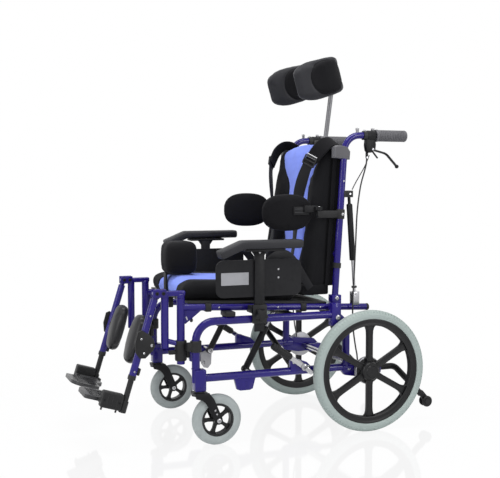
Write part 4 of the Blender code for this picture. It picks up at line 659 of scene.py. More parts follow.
# %% Rear tyre rubber
REAR_AXIS_HEIGHT = 0.2
TYRE_RADIUS = 0.2

tyre_rubber, tree, shader, place = new_look("rear_tyre_rubber")
centred = tree.nodes.new("ShaderNodeMapping")
centred.vector_type = "POINT"
centred.inputs["Location"].default_value = (0.0, -AXLE_SHIFT, -REAR_AXIS_HEIGHT)
centred.inputs["Scale"].default_value = (0.0, 1.0, 1.0)
tree.links.new(place, centred.inputs["Vector"])
away = tree.nodes.new("ShaderNodeVectorMath")
away.operation = "LENGTH"
tree.links.new(centred.outputs["Vector"], away.inputs[0])
tread = tree.nodes.new("ShaderNodeMapRange")
tread.inputs["From Min"].default_value = TYRE_RADIUS - 0.004
tread.inputs["From Max"].default_value = TYRE_RADIUS
tree.links.new(away.outputs["Value"], tread.inputs["Value"])
dust = placed(tree, smudge_group, place, Scale=60.0, Low=0.0, High=0.8)
dusty = math_node(tree, "MULTIPLY", tread.outputs["Result"], dust.outputs["Value"])
dusty_colour = colour_mix(tree, dusty, (0.385, 0.45, 0.425), (0.33, 0.37, 0.35))
tree.links.new(dusty_colour, shader.inputs["Base Color"])
dulled = placed(tree, smudge_group, place, Scale=12.0, Low=0.52, High=0.68)
tree.links.new(dulled.outputs["Value"], shader.inputs["Roughness"])
fine = placed(tree, grain_group, place, Scale=900.0)
bumped(tree, shader, fine.outputs["Value"], 0.2, 0.0003)

# %% [markdown]
# ## Cloth
#
# The covers are a knitted spacer mesh: rows of tiny open cells, bright blue in the middle of the
# seat and the back and black at the sides. The cells are smaller than a pixel from the camera,
# but they give the cloth its soft, slightly speckled look, and they show when the chair is seen
# close. A little sheen stands for the fibres' fuzz.


# %% Knitted covers, felted pad covers and webbing
def cloth_look(name, colour, hollow, cell=420.0, bump=0.5, sheen=0.25, roughness=(0.78, 0.92)):
    look, tree, shader, place = new_look(name, Sheen_Weight=sheen, Sheen_Roughness=0.5,
                                         Specular_IOR_Level=0.15)
    knit = placed(tree, cell_group, place, Scale=cell)
    faded = placed(tree, smudge_group, place, Scale=16.0, Low=0.0, High=1.0)
    soft_shade = tuple(channel * 0.88 for channel in colour)
    base = colour_mix(tree, faded.outputs["Value"], soft_shade, colour)
    tree.links.new(colour_mix(tree, knit.outputs["Hole"], base, hollow), shader.inputs["Base Color"])
    dulled = placed(tree, smudge_group, place, Scale=8.0, Low=roughness[0], High=roughness[1])
    tree.links.new(dulled.outputs["Value"], shader.inputs["Roughness"])
    bumped(tree, shader, knit.outputs["Height"], bump, 0.0006)
    return look


blue_mesh = cloth_look("blue_spacer_mesh", (0.27, 0.36, 1.000), (0.185, 0.265, 0.88), sheen=0.12)
black_mesh = cloth_look("black_spacer_mesh", (0.0085, 0.0085, 0.01), (0.004, 0.004, 0.005), sheen=0.04)
black_felt = cloth_look("black_felted_cover", (0.0075, 0.0073, 0.0088), (0.004, 0.004, 0.005), cell=700.0,
                        bump=0.35, sheen=0.04)
# Painted highlight: this grey stands for the light on the headrest's front edges and rims; the pad itself
# is black.
painted_highlight_band = cloth_look("grey_painted_highlight_band", (0.032, 0.032, 0.036), (0.018, 0.018, 0.02), cell=620.0,
                       bump=0.4, sheen=0.18)
webbing = cloth_look("black_webbing", (0.016, 0.016, 0.018), (0.006, 0.006, 0.007), cell=900.0, bump=0.6,
                     sheen=0.08, roughness=(0.52, 0.68))
white_thread = cloth_look("white_thread", (0.75, 0.75, 0.76), (0.5, 0.5, 0.52), cell=1400.0, bump=0.4)
print("finishes:", len(bpy.data.materials))

# %% [markdown]
# ## The base frame
#
# Each side of the base is one tube that rises from the caster, bends back over the seat's height
# and drops in front of the rear wheel, with a second tube low down and a square caster housing
# welded to the front. The tubes are swept along the same centre lines as the solids, with enough
# sides to look round, and the lugs, plates and weld beads are added in the places that the
# photograph shows.

# %% Side frames
RAIL_X = 0.245
FRAME_RADIUS = 0.0125
FRONT_Y = -0.584
REAR_POST_Y = -0.068
UPPER_RAIL = 0.387
LOWER_RAIL = 0.212
SWIVEL_Y = -0.573


def weld(place, axis, radius):
    """Bead where a tube meets another."""
    half = [(-0.0018, radius - 0.001), (-0.0014, radius + 0.0012), (0.0, radius + 0.0022)]
    return turned(both_sides(half), place, axis, 24, closed=True)


def side_frame():
    loop = tube([(RAIL_X, FRONT_Y, 0.2), (RAIL_X, FRONT_Y, UPPER_RAIL),
                 (RAIL_X, REAR_POST_Y, UPPER_RAIL), (RAIL_X, REAR_POST_Y, LOWER_RAIL)],
                FRAME_RADIUS, bend=0.06)
    lower = tube([(RAIL_X, -0.56, LOWER_RAIL), (RAIL_X, -0.044, LOWER_RAIL)], FRAME_RADIUS)
    housing = block(about(RAIL_X, 0.018), about(SWIVEL_Y, 0.018), (0.1733, 0.241), 0.004, 3)
    gusset = plate([(-0.27, LOWER_RAIL), (-0.27, 0.252), (-0.262, 0.257), (-0.214, 0.24),
                    (-0.198, 0.224), (-0.193, LOWER_RAIL)], RAIL_X - 0.004, RAIL_X + 0.013)
    axle_plate = plate([(-0.09, 0.205), (-0.075, 0.186), (-0.02, 0.176), (0.04, 0.178),
                        (0.058, 0.186), (0.06, 0.206), (0.045, 0.222), (-0.044, 0.232),
                        (-0.075, 0.236)], RAIL_X - 0.009, RAIL_X + 0.009)
    strut_lug = plate([(-0.4616, 0.212), (-0.45, 0.168), (-0.44, 0.164), (-0.408, 0.164),
                       (-0.398, 0.168), (-0.386, 0.212)], RAIL_X - 0.007, RAIL_X + 0.007)
    socket = block((0.198, RAIL_X), (0.01, 0.058), (0.18, 0.209), 0.002)
    pivot = block(about(RAIL_X, 0.0148), (-0.1255, -0.0924), (0.3505, 0.4244), 0.003)
    beads = [weld((RAIL_X, -0.556, LOWER_RAIL), (0, 1, 0), FRAME_RADIUS),
             weld((RAIL_X, -0.083, LOWER_RAIL), (0, 1, 0), FRAME_RADIUS),
             weld((RAIL_X, FRONT_Y, 0.243), (0, 0, 1), FRAME_RADIUS)]
    return joined(loop, lower, housing, gusset, axle_plate, strut_lug, socket, pivot, *beads)


add_pair("side_frame_tubes", side_frame, frame_paint, "base", ["side_frame"])


# %% Screws and pins of the side frames
def side_frame_steel():
    strut_pin = rod(beside(STRUT_LOW, RAIL_X - 0.005), beside(STRUT_LOW, 0.17), 0.006)
    strut_nut = bolt(beside(STRUT_LOW, 0.1705), (-1, 0, 0), 0.0095, 0.005)
    tilt_bolt = bolt(beside(TILT_HINGE, RAIL_X + 0.0146), (1, 0, 0), 0.0085, 0.004)
    tilt_pin = rod(beside(TILT_HINGE, RAIL_X), beside(TILT_HINGE, 0.203), 0.0058)
    brake_bolts = [bolt((RAIL_X + 0.012, y, z), (1, 0, 0), 0.005, 0.0028)
                   for y, z in ((-0.26, 0.242), (-0.208, 0.225))]
    plate_bolts = [bolt((RAIL_X + 0.0088, y, 0.208), (1, 0, 0), 0.0065, 0.003) for y in (-0.06, 0.036)]
    return joined(strut_pin, strut_nut, tilt_bolt, tilt_pin, *brake_bolts, *plate_bolts)


add_pair("side_frame_fasteners", side_frame_steel, plated_steel, "base")


# %% Anchor plate of the far strut
def anchor_plate():
    """Bright plate on the far side frame that the front strut is bolted to."""
    sheet = plate([(-0.416, 0.199), (-0.39, 0.208), (-0.372, 0.195), (-0.374, 0.156), (-0.386, 0.141),
                   (-0.402, 0.144), (-0.413, 0.16)], -0.228, -0.225, 0.001)
    return joined(sheet, bolt((-0.225, -0.401, 0.16), (1, 0, 0), 0.006, 0.004))


add_piece("strut_anchor_plate_R", anchor_plate(), cast_alloy, "base")


# %% Clamps and caps of the side frames
def side_frame_plastic():
    """Clamp with its jaw on the front post, and the ring under the caster housing."""
    clamp = turned([(0, 0.012), (0, 0.016), (0.002, 0.0178), (0.033, 0.0178), (0.035, 0.016),
                    (0.035, 0.012)], (RAIL_X, FRONT_Y, 0.295), (0, 0, 1), 28, closed=True)
    jaw = block(about(RAIL_X, 0.01), (FRONT_Y - 0.03, FRONT_Y - 0.012), (0.3, 0.325), 0.002)
    ring = turned([(0, 0.008), (0, 0.0165), (0.003, 0.0172), (0.0046, 0.0165), (0.0046, 0.008)],
                  (RAIL_X, SWIVEL_Y, 0.1686), (0, 0, 1), 24, closed=True)
    return joined(clamp, jaw, ring)


add_pair("side_frame_clamps", side_frame_plastic, black_plastic, "base")

# %% [markdown]
# ## The cross frame
#
# A tube joins the two sides behind the caster line, and a slanted brace runs down from it. In
# the photograph they are black, half hidden by the struts. They are tubes like the rest.

# %% Cross tube, slanted brace and rear axle
CROSS_Y = -0.25
INNER_REACH = RAIL_X - FRAME_RADIUS


def cross_frame():
    top = tube([(-INNER_REACH, CROSS_Y, UPPER_RAIL), (INNER_REACH, CROSS_Y, UPPER_RAIL)], 0.011)
    brace = tube([(-INNER_REACH + 0.035, CROSS_Y, UPPER_RAIL), (INNER_REACH - 0.012, CROSS_Y, 0.221)],
                 0.0095)
    foot = block((INNER_REACH - 0.022, INNER_REACH - 0.0003), about(CROSS_Y, 0.012),
                 (LOWER_RAIL - 0.01, LOWER_RAIL + 0.02), 0.002)
    return joined(top, brace, foot)


add_piece("cross_tubes", cross_frame(), black_coat, "base", ["cross_frame"])
frame["nodes"]["rear_axle"].data.materials[0] = plated_steel

# %% [markdown]
# ## The rear wheels
#
# The rear wheels are moulded in one piece: a deep rim, six flared spokes with a groove down the
# middle, and a round hub over the brake drum. A spoke is a cube that is extruded outwards in
# steps and widened where it meets the hub and the rim, then its faces are inset for the groove.
# The tyre is a spun ring of 216 steps, so that every second face of its shoulders can be pushed
# in to make the ribs.

# %% Helpers for spokes
WHEEL_X = 0.28
WHEEL_CENTRE = (WHEEL_X, 0.0, REAR_AXIS_HEIGHT)
SPOKES = 6
RIM_OUTER = 0.1728
RIM_INNER = 0.15


def spoke(stations, depth, groove):
    """One spoke along +Z: (distance, width) stations are extruded from a cube's top face."""
    bm = bmesh.new()
    start, width = stations[0]
    bmesh.ops.create_grid(bm, x_segments=1, y_segments=1, size=0.5)
    bmesh.ops.scale(bm, verts=bm.verts, vec=(depth, width, 1.0))
    bmesh.ops.translate(bm, verts=bm.verts, vec=(0, 0, start))
    bm.faces.ensure_lookup_table()
    face = bm.faces[0]
    for (low, narrow), (high, wide) in zip(stations, stations[1:]):
        made = bmesh.ops.extrude_discrete_faces(bm, faces=[face])
        face = made["faces"][0]
        bmesh.ops.translate(bm, verts=face.verts[:], vec=(0, 0, high - low))
        bmesh.ops.scale(bm, verts=face.verts[:], vec=(1.0, wide / narrow, 1.0))
    bmesh.ops.recalc_face_normals(bm, faces=bm.faces)
    broad = [f for f in bm.faces if abs(f.normal.x) > 0.9]
    if groove:
        bmesh.ops.inset_region(bm, faces=broad, thickness=groove, depth=0.0)
        bmesh.ops.inset_region(bm, faces=broad, thickness=0.0012, depth=-0.0022)
    rims = [edge for edge in bm.edges if len(edge.link_faces) == 2 and edge.calc_face_angle() > radians(60)]
    bevelled(bm, rims, 0.0018, 2)
    return bm


def wheel_spokes(count, stations, depth, groove, centre, first=0.0):
    pieces = []
    for number in range(count):
        one = spoke(stations, depth, groove)
        turn = Matrix.Rotation(first + 2 * pi * number / count, 4, "X")
        bmesh.ops.transform(one, matrix=Matrix.Translation(centre) @ turn, verts=one.verts)
        pieces.append(one)
    return pieces


# %% Rear wheel mouldings
def rear_wheel():
    rim = turned([(-0.012, RIM_INNER + 0.003), (-0.0105, RIM_INNER), (-0.004, RIM_INNER + 0.0035),
                  (0.004, RIM_INNER + 0.0035), (0.0105, RIM_INNER), (0.012, RIM_INNER + 0.003),
                  (0.0095, RIM_INNER + 0.007), (0.0095, RIM_OUTER - 0.0075), (0.0125, RIM_OUTER - 0.0035),
                  (0.012, RIM_OUTER), (-0.012, RIM_OUTER), (-0.0125, RIM_OUTER - 0.0035)],
                 WHEEL_CENTRE, (1, 0, 0), 96, closed=True)
    hub = turned([(-0.007, 0.0), (-0.007, 0.043), (-0.004, 0.042), (-0.003, 0.033),
                  (0.009, 0.031), (0.014, 0.029), (0.0165, 0.0262), (0.0165, 0.019),
                  (0.019, 0.0172), (0.0196, 0.01), (0.018, 0.0)], WHEEL_CENTRE, (1, 0, 0), 64)
    arms = wheel_spokes(SPOKES, [(0.024, 0.03), (0.033, 0.0235), (0.048, 0.0205), (0.118, 0.0205),
                                 (0.133, 0.0225), (0.143, 0.029), (0.15, 0.043), (0.154, 0.056)],
                        0.015, 0.0035, WHEEL_CENTRE)
    return joined(rim, hub, *arms)


add_pair("rear_wheel_moulding", rear_wheel, wheel_plastic, "rear_wheel", ["rear_wheel"])


# %% Brake drums
def drum():
    return turned([(-0.0235, 0.0), (-0.0235, 0.04), (-0.0215, 0.044), (-0.018, 0.0452),
                   (-0.014, 0.0436), (-0.012, 0.0452), (-0.0085, 0.0452), (-0.007, 0.043),
                   (-0.007, 0.0)], WHEEL_CENTRE, (1, 0, 0), 64)


add_pair("brake_drum", drum, cast_alloy, "rear_wheel")

# %% Rear tyres with ribbed shoulders
RIB_STEPS = 216


def rear_tyre():
    side = -0.017
    profile = both_sides([(side + 0.003, RIM_OUTER - 0.0004), (side + 0.0006, 0.1765), (side, 0.183),
                          (side + 0.001, 0.189), (side + 0.004, 0.195), (side + 0.0085, 0.1986),
                          (-0.0035, 0.1998)])
    bm = turned(profile, WHEEL_CENTRE, (1, 0, 0), RIB_STEPS, closed=True)
    ribs = []
    for face in bm.faces:
        offset = face.calc_center_median() - Vector(WHEEL_CENTRE)
        radius = (offset.y ** 2 + offset.z ** 2) ** 0.5
        step = int((atan2(offset.z, offset.y) + 2 * pi) / (2 * pi) * RIB_STEPS)
        if 0.19 < radius < 0.1975 and step % 2 == 0:
            ribs.append(face)
    bmesh.ops.inset_individual(bm, faces=ribs, thickness=0.0006, depth=-0.0009)
    return bm


add_pair("rear_tyre_ribbed", rear_tyre, tyre_rubber, "rear_wheel", ["rear_tyre"])

# %% [markdown]
# ## The casters
#
# A caster is a black five-spoked wheel with a flat-sided grey tyre, in a fork whose two arms
# sweep back from the swivel. The arms are one outline with a thickness, used on both sides of
# the wheel.

# %% Caster tyres
CASTER_Y = -0.517
CASTER_CENTRE = (RAIL_X, CASTER_Y, 0.08)
CASTER_SPOKES = 5


def caster_tyre():
    half = [(-0.0125, 0.0505), (-0.0148, 0.054), (-0.015, 0.064), (-0.0135, 0.071), (-0.01, 0.0762),
            (-0.005, 0.0793), (0.0, 0.0799)]
    return turned(both_sides(half), CASTER_CENTRE, (1, 0, 0), 72, closed=True)


add_pair("caster_tyre", caster_tyre, caster_rubber, "caster_wheel", ["caster_wheel"])


# %% Caster wheels
def caster_rim():
    rim_half = [(-0.0118, 0.044), (-0.0136, 0.0455), (-0.0136, 0.052), (-0.012, 0.0535)]
    rim = turned(both_sides(rim_half), CASTER_CENTRE, (1, 0, 0), 64, closed=True)
    hub_half = [(-0.018, 0.0), (-0.018, 0.0115), (-0.0165, 0.014)]
    hub = turned(both_sides(hub_half), CASTER_CENTRE, (1, 0, 0), 40)
    stations = [(0.009, 0.017), (0.016, 0.0118), (0.03, 0.0105), (0.038, 0.013), (0.043, 0.02),
                (0.0465, 0.029)]
    arms = wheel_spokes(CASTER_SPOKES, stations, 0.012, 0.0, CASTER_CENTRE, radians(18))
    return joined(rim, hub, *arms)


add_pair("caster_spokes", caster_rim, wheel_plastic, "caster_wheel")


# %% Caster forks
def caster_fork():
    outline = [(-0.594, 0.169), (-0.548, 0.169), (-0.543, 0.162), (-0.533, 0.15),
               (-0.506, 0.088), (-0.504, 0.079), (-0.507, 0.071), (-0.514, 0.0675),
               (-0.523, 0.068), (-0.529, 0.074), (-0.54, 0.098), (-0.556, 0.134),
               (-0.57, 0.147), (-0.59, 0.153)]
    outer = plate(outline, RAIL_X + 0.019, RAIL_X + 0.025, 0.0012)
    inner = plate(outline, RAIL_X - 0.025, RAIL_X - 0.019, 0.0012)
    crown = block(about(RAIL_X, 0.0245), (-0.5935, -0.548), (0.16, 0.1685), 0.002)
    neck = turned([(-0.004, 0.0), (-0.004, 0.019), (0.002, 0.019), (0.004, 0.017), (0.0046, 0.008),
                   (0.06, 0.008), (0.06, 0.0)], (RAIL_X, SWIVEL_Y, 0.164), (0, 0, 1), 28)
    return joined(outer, inner, crown, neck)


add_pair("caster_fork_arms", caster_fork, black_coat, "caster_fork", ["caster_fork"])


def fork_bolts():
    heads = [bolt((RAIL_X + side * 0.0248, CASTER_Y, 0.08), (side, 0, 0), 0.007, 0.004) for side in (1, -1)]
    screws = [bolt((RAIL_X + 0.025, y, z), (1, 0, 0), 0.0028, 0.0014)
              for y, z in ((-0.524, 0.101), (-0.5295, 0.113))]
    return joined(*heads, *screws)


add_pair("fork_bolts", fork_bolts, plated_steel, "caster_fork")

# %% [markdown]
# ## Anti-tip bars and the parking brakes
#
# Behind each wheel a bent black bar carries a small double roller, so that the chair can't tip
# over when the seat leans back. In front of the wheel sits the parking brake: a ribbed grip on a
# bright plated lever that pushes a toe against the tyre.

# %% Anti-tip bars and rollers
ROLLER_PLACE = Vector((SEAT_X, 0.2585, 0.063))


def anti_tip_bar():
    bar = tube([(SEAT_X, 0.0133, 0.1945), (SEAT_X, 0.133, 0.1945),
                ROLLER_PLACE + Vector((0, -0.02, 0.026))], 0.0105, bend=0.04)
    fork = plate([(0.233, 0.096), (0.244, 0.101), (0.27, 0.072), (0.272, 0.06),
                  (0.264, 0.051), (0.253, 0.051), (0.246, 0.06)], SEAT_X - 0.0062, SEAT_X + 0.0062, 0.002)
    return joined(bar, fork)


add_pair("anti_tip_bar", anti_tip_bar, black_coat, "base", ["anti_tip_tube"])


def anti_tip_roller():
    half = [(-0.0143, 0.0), (-0.0143, 0.01), (-0.0128, 0.0105), (-0.0143, 0.016), (-0.0115, 0.0189),
            (-0.0085, 0.019), (-0.0066, 0.0176), (-0.0066, 0.007)]
    return turned(both_sides(half), ROLLER_PLACE, (1, 0, 0), 40)


add_pair("anti_tip_wheels", anti_tip_roller, black_plastic, "anti_tip_roller",
         ["anti_tip_roller"])

# %% Parking brake grips
BRAKE_PIVOT = Vector((0.271, -0.229, 0.227))
GRIP_FOOT = Vector((0.271, -0.276, 0.261))
GRIP_WAY = Vector((0.0, -0.065, 0.043)).normalized()
RIB_PROFILE = ((0.0, 0.0117), (0.0052, 0.0117), (0.006, 0.0106), (0.0074, 0.0106))


def brake_grip():
    profile = [(0.0, 0.0), (0.0, 0.0085), (0.003, 0.0105)]
    for rib in range(8):
        along = 0.006 + rib * 0.008
        profile += [(along + step, radius) for step, radius in RIB_PROFILE]
    profile += [(0.072, 0.0112), (0.0765, 0.0095), (0.078, 0.006), (0.078, 0.0)]
    return turned(profile, GRIP_FOOT, GRIP_WAY, 28)


add_pair("parking_brake_grip", brake_grip, black_plastic, "parking_brake",
         ["parking_brake"])


# %% Parking brake levers
def brake_lever():
    along = GRIP_FOOT - BRAKE_PIVOT
    bar = band([BRAKE_PIVOT - along * 0.25, GRIP_FOOT + GRIP_WAY * 0.012], 0.015, 0.0035, (0, 1, 0))
    hub = turned([(0, 0), (0, 0.01), (0.0015, 0.0112), (0.015, 0.0112), (0.0165, 0.0095), (0.0175, 0.005),
                  (0.0175, 0.0)], BRAKE_PIVOT + Vector((-0.0105, 0, 0)), (1, 0, 0), 28)
    toe = plate([(-0.233, 0.223), (-0.225, 0.231), (-0.206, 0.215), (-0.207, 0.2075),
                 (-0.2125, 0.204)], 0.265, 0.2885, 0.002)
    link = band([Vector((0.262, -0.248, 0.248)), Vector((0.262, -0.209, 0.215))], 0.011, 0.003, (0, 1, 0))
    pin = bolt((0.264, -0.248, 0.248), (1, 0, 0), 0.0042, 0.003)
    return joined(bar, hub, toe, link, pin)


add_pair("parking_brake_lever", brake_lever, plated_steel, "parking_brake")

# %% [markdown]
# ## The tilt struts
#
# Two gas struts lift the seat. Each is a black cylinder pinned to the lower rail, a bright rod
# that slides out of it, and an eye at each end.

# %% Tilt struts
STRUT_WAY = (STRUT_HIGH - STRUT_LOW).normalized()


def tilt_cylinder():
    body = turned([(0.008, 0.0), (0.008, 0.009), (0.01, 0.0105), (0.148, 0.0105), (0.15, 0.0098),
                   (0.152, 0.0105), (0.1535, 0.0095), (0.1535, 0.0062), (0.145, 0.0062)],
                  STRUT_LOW, STRUT_WAY, 32)
    eye = cross_pin(STRUT_LOW, 0.008, 0.012, 0.0012)
    return joined(body, eye)


add_pair("tilt_strut_body", tilt_cylinder, black_coat, "tilt_cylinder", ["tilt_cylinder"])


def tilt_rod():
    stem = rod(STRUT_LOW + STRUT_WAY * 0.035, STRUT_HIGH - STRUT_WAY * 0.004, 0.0058)
    eye = cross_pin(STRUT_HIGH, 0.005, 0.009, 0.001)
    nut = turned([(-0.022, 0.0058), (-0.022, 0.0085), (-0.014, 0.0085), (-0.014, 0.0058)], STRUT_HIGH,
                 STRUT_WAY, 6, closed=True)
    return joined(stem, eye, nut)


add_pair("tilt_strut_rod", tilt_rod, plated_steel, "tilt_rod", ["tilt_rod"])

# %% [markdown]
# ## The seat frame
#
# The seat's own frame tilts above the base: a long tube each side that ends behind the back in a
# black cap, a vertical tube at the front for the leg rest, a triangular gusset between them, and
# the sockets of the arm rests. Black saddles clip the seat pan to the rails.

# %% Seat rails
SEAT_FRONT = -0.622
SEAT_REAR = 0.027


def rail_height(y):
    """Height of the seat rail's centre line."""
    return 0.4028 - 0.0458 * y


def seat_rail():
    rail = tube([(SEAT_X, y, rail_height(y)) for y in (SEAT_FRONT, SEAT_REAR)], 0.011)
    receiver = rod((SEAT_X, SEAT_FRONT, 0.2545), (SEAT_X, SEAT_FRONT, 0.4599), 0.0125)
    gusset = plate([(-0.615, 0.378), (-0.606, 0.38), (-0.585, 0.396), (-0.553, 0.421), (-0.59, 0.43),
                    (-0.615, 0.43)], SEAT_X - 0.0035, SEAT_X + 0.0035, 0.001)
    hinge = block(about(SEAT_X, 0.0155), (-0.1099, -0.0759), (0.398, 0.448), 0.003)
    return joined(rail, receiver, gusset, hinge)


add_pair("seat_rail_tubes", seat_rail, frame_paint, "seat", ["seat_rail"])


# %% Caps, saddles and sockets of the seat frame
def seat_rail_black():
    cap = turned([(-0.006, 0.0113), (0.001, 0.0116), (0.003, 0.0098), (0.0036, 0.0)],
                 (SEAT_X, SEAT_REAR, rail_height(SEAT_REAR)), (0, 1, 0), 24)
    clips = [block(about(SEAT_X, 0.0135), about(y, 0.01),
                   (rail_height(y) - 0.0135, rail_height(y) + 0.013), 0.003) for y in (-0.535, -0.21)]
    saddle = block((SEAT_X - 0.008, 0.257), (-0.49, -0.457), (0.3998, 0.415), 0.003)
    drop = plate([(-0.49, 0.415), (-0.457, 0.415), (-0.464, 0.386), (-0.483, 0.386)], SEAT_X - 0.006,
                 SEAT_X + 0.006, 0.001)
    bracket = block((SEAT_X, 0.27), about(ARM_POST_Y, 0.0235), (0.406, 0.429), 0.003)
    socket = block((0.2581, 0.2722), about(ARM_POST_Y, 0.0235), (0.376, 0.435), 0.002)
    bridge = block((0.166, SEAT_X), (-0.306, -0.282), (0.4195, 0.4262), 0.0015)
    cheeks = [block(about(STRUT_X + side, 0.0015), (-0.306, -0.282), (0.396, 0.425), 0.001)
              for side in (-0.0081, 0.0081)]
    lug = plate([(-0.1205, 0.4), (-0.1185, 0.372), (-0.112, 0.3655), (-0.0972, 0.3655), (-0.0907, 0.372),
                 (-0.0887, 0.4)], SEAT_X - 0.006, SEAT_X + 0.006, 0.001)
    return joined(cap, *clips, saddle, drop, bracket, socket, bridge, *cheeks, lug)


add_pair("seat_rail_fittings", seat_rail_black, black_plastic, "seat")


# %% Knobs of the arm sockets
def arm_knob():
    """Star-shaped clamping knob on the arm socket, with its stem."""
    knob = bmesh.new()
    bmesh.ops.create_circle(knob, cap_ends=True, segments=30, radius=0.0185)
    for vert in knob.verts:
        vert.co *= 1.0 + 0.18 * cos(5 * atan2(vert.co.y, vert.co.x))
    thickened(knob, knob.faces[:], (0, 0, 0.015))
    bmesh.ops.recalc_face_normals(knob, faces=knob.faces)
    rims = [edge for edge in knob.edges if abs(edge.verts[0].co.z - edge.verts[1].co.z) < 1e-6]
    bevelled(knob, rims, 0.0025, 2)
    bmesh.ops.transform(knob, matrix=aimed((0.276, ARM_POST_Y, 0.404), (1, 0, 0)), verts=knob.verts)
    stem = rod((0.2715, ARM_POST_Y, 0.404), (0.279, ARM_POST_Y, 0.404), 0.006)
    return joined(knob, stem)


add_pair("arm_socket_knob", arm_knob, black_plastic, "seat")


# %% Screws of the seat rails
def rail_pins():
    """Bright screws along the seat rail and the pin of the recline spring's foot."""
    screws = [bolt((SEAT_X + 0.0105, y, rail_height(y)), (1, 0, 0), 0.003, 0.0016)
              for y in (-0.5, -0.3, -0.15)]
    hinge = [bolt(beside(BACK_HINGE, SEAT_X + side * 0.0152), (side, 0, 0), 0.007, 0.0035)
             for side in (1, -1)]
    feet = [block(x_range, (-0.033, -0.007), (0.41, 0.455), 0.0012)
            for x_range in ((SEAT_X - 0.01, SEAT_X - 0.006), (SEAT_X + 0.006, SEAT_X + 0.01))]
    pin = cross_pin(GAS_LOW, 0.012, 0.004)
    return joined(*feet, pin, *screws, *hinge)


add_pair("seat_rail_steel", rail_pins, plated_steel, "seat")


# %% Seat board
def seat_board():
    front, rear, lift, thick = -0.6, -0.125, 0.0113, 0.006
    board = plate([(front, rail_height(front) + lift), (rear, rail_height(rear) + lift),
                   (rear, rail_height(rear) + lift + thick), (front, rail_height(front) + lift + thick)],
                  -0.2165, 0.2165, 0.0015)
    socket = block((-0.02, 0.02), (-0.617, -0.588), (0.405, 0.444), 0.003)
    return joined(board, socket)


add_piece("seat_board", seat_board(), black_plastic, "seat", ["seat_pan"])


# %% Release rods
def tilt_release():
    """Bright pull rod with a round black end, seen in front of the left side frame's bend."""
    return joined(rod((SEAT_X, -0.606, 0.402), (SEAT_X, -0.601, 0.39), 0.004),
                  rod((SEAT_X, -0.601, 0.3935), (SEAT_X, -0.59, 0.39), 0.003))


add_pair("tilt_release_rod", tilt_release, plated_steel, "seat")


def release_knob():
    return turned([(0, 0), (0, 0.004), (0.002, 0.0062), (0.006, 0.0062), (0.008, 0.004), (0.0084, 0.0)],
                  (SEAT_X, -0.5915, 0.39), (0, 1, -0.2), 24)


add_pair("tilt_release_knob", release_knob, black_plastic, "seat")

# %% [markdown]
# ## The arm rests
#
# An arm rest is a flat black post, a plate under the pad, a long foam pad with a firm moulded
# skin that bends down at the front, and a side panel of black plastic with rounded corners. The
# pad is a rounded section that is swept along its bent centre line. A small plate is riveted on
# the panel; on the real chair it is printed, and here it stays bare.


# %% Arm posts and plates
def arm_post():
    post = block((0.2595, 0.2685), about(ARM_POST_Y, 0.0165), (0.35, 0.604), 0.0015)
    top = 0.6107
    under = block((0.2595, 0.308), (-0.438, -0.31), (top - 0.007, top), 0.002)
    rib = plate([(-0.412, top - 0.004), (-0.407, top - 0.01), (-0.3965, 0.586), (-0.3665, 0.586),
                 (-0.356, top - 0.01), (-0.351, top - 0.004)], 0.2612, 0.2668, 0.0012)
    return joined(post, under, rib)


add_pair("arm_post_black", arm_post, black_coat, "armrest", ["armrest_post"])


# %% Arm pads
def arm_pad():
    """Rounded rectangle swept along the arm's centre line, with drawn-in ends."""
    middle = 0.625
    centre = 0.295
    path = rounded([(centre, -0.525, 0.594), (centre, -0.45, middle), (centre, -0.254, middle)], 0.022, 7)
    bm = band(path, 0.05, 0.027, soft=0.0095, segments=5)
    ends = [edge for edge in bm.edges if any(len(face.verts) > 4 for face in edge.link_faces)]
    bevelled(bm, ends, 0.006, 4)
    return bm


add_pair("arm_pad_moulded", arm_pad, arm_skin, "armrest", ["armrest_pad"])

# %% Side panels
PANEL_OUTER = 0.2591
PANEL_MIDDLE = (-0.3795, 0.517)
PANEL_HALF = (0.1435, 0.058)


def side_panel():
    bm = bmesh.new()
    bmesh.ops.create_grid(bm, x_segments=1, y_segments=1, size=1.0)
    bmesh.ops.scale(bm, verts=bm.verts, vec=(PANEL_HALF[0], PANEL_HALF[1], 1.0))
    bevelled(bm, bm.verts[:], 0.024, 8, "VERTICES")
    turn = Matrix(((0, 0, 1, PANEL_OUTER), (1, 0, 0, PANEL_MIDDLE[0]), (0, 1, 0, PANEL_MIDDLE[1]),
                   (0, 0, 0, 1)))
    bmesh.ops.transform(bm, matrix=turn, verts=bm.verts)
    bmesh.ops.inset_region(bm, faces=bm.faces[:], thickness=0.004, depth=0.0)
    outer_face = max(bm.faces, key=lambda face: face.calc_area())
    bmesh.ops.inset_region(bm, faces=[outer_face], thickness=0.0014, depth=0.0012)
    thickened(bm, bm.faces[:], (-0.005, 0, 0))
    bmesh.ops.recalc_face_normals(bm, faces=bm.faces)
    return bm


add_pair("side_panel_moulded", side_panel, panel_plastic, "armrest", ["side_panel"])


# %% Screws and bare plates of the side panels
def panel_screws():
    screws = [bolt((PANEL_OUTER + 0.0008, -0.315, z), (1, 0, 0), 0.0032, 0.0018) for z in (0.543, 0.517)]
    return joined(*screws, bolt((0.2683, ARM_POST_Y, 0.598), (1, 0, 0), 0.0032, 0.0018))


add_pair("side_panel_screws", panel_screws, plated_steel, "armrest")


def bare_plate():
    return block((PANEL_OUTER + 0.0006, PANEL_OUTER + 0.0021), (-0.5065, -0.4156), (0.4976, 0.5366), 0.0005,
                 1)


add_pair("side_panel_label", bare_plate, label_plate, "armrest")

# %% [markdown]
# ## The leg rests
#
# Each leg rest hooks into the seat frame's front tube and swings outwards. The blue leg tube
# hangs from a clevis with painted cheeks and slopes forward; a black tube slides out of it and
# ends in a moulded block with the foot plate. A fan-shaped bracket on the outside carries the
# calf pad. Everything below the knee is placed with one helper that measures down the leg.

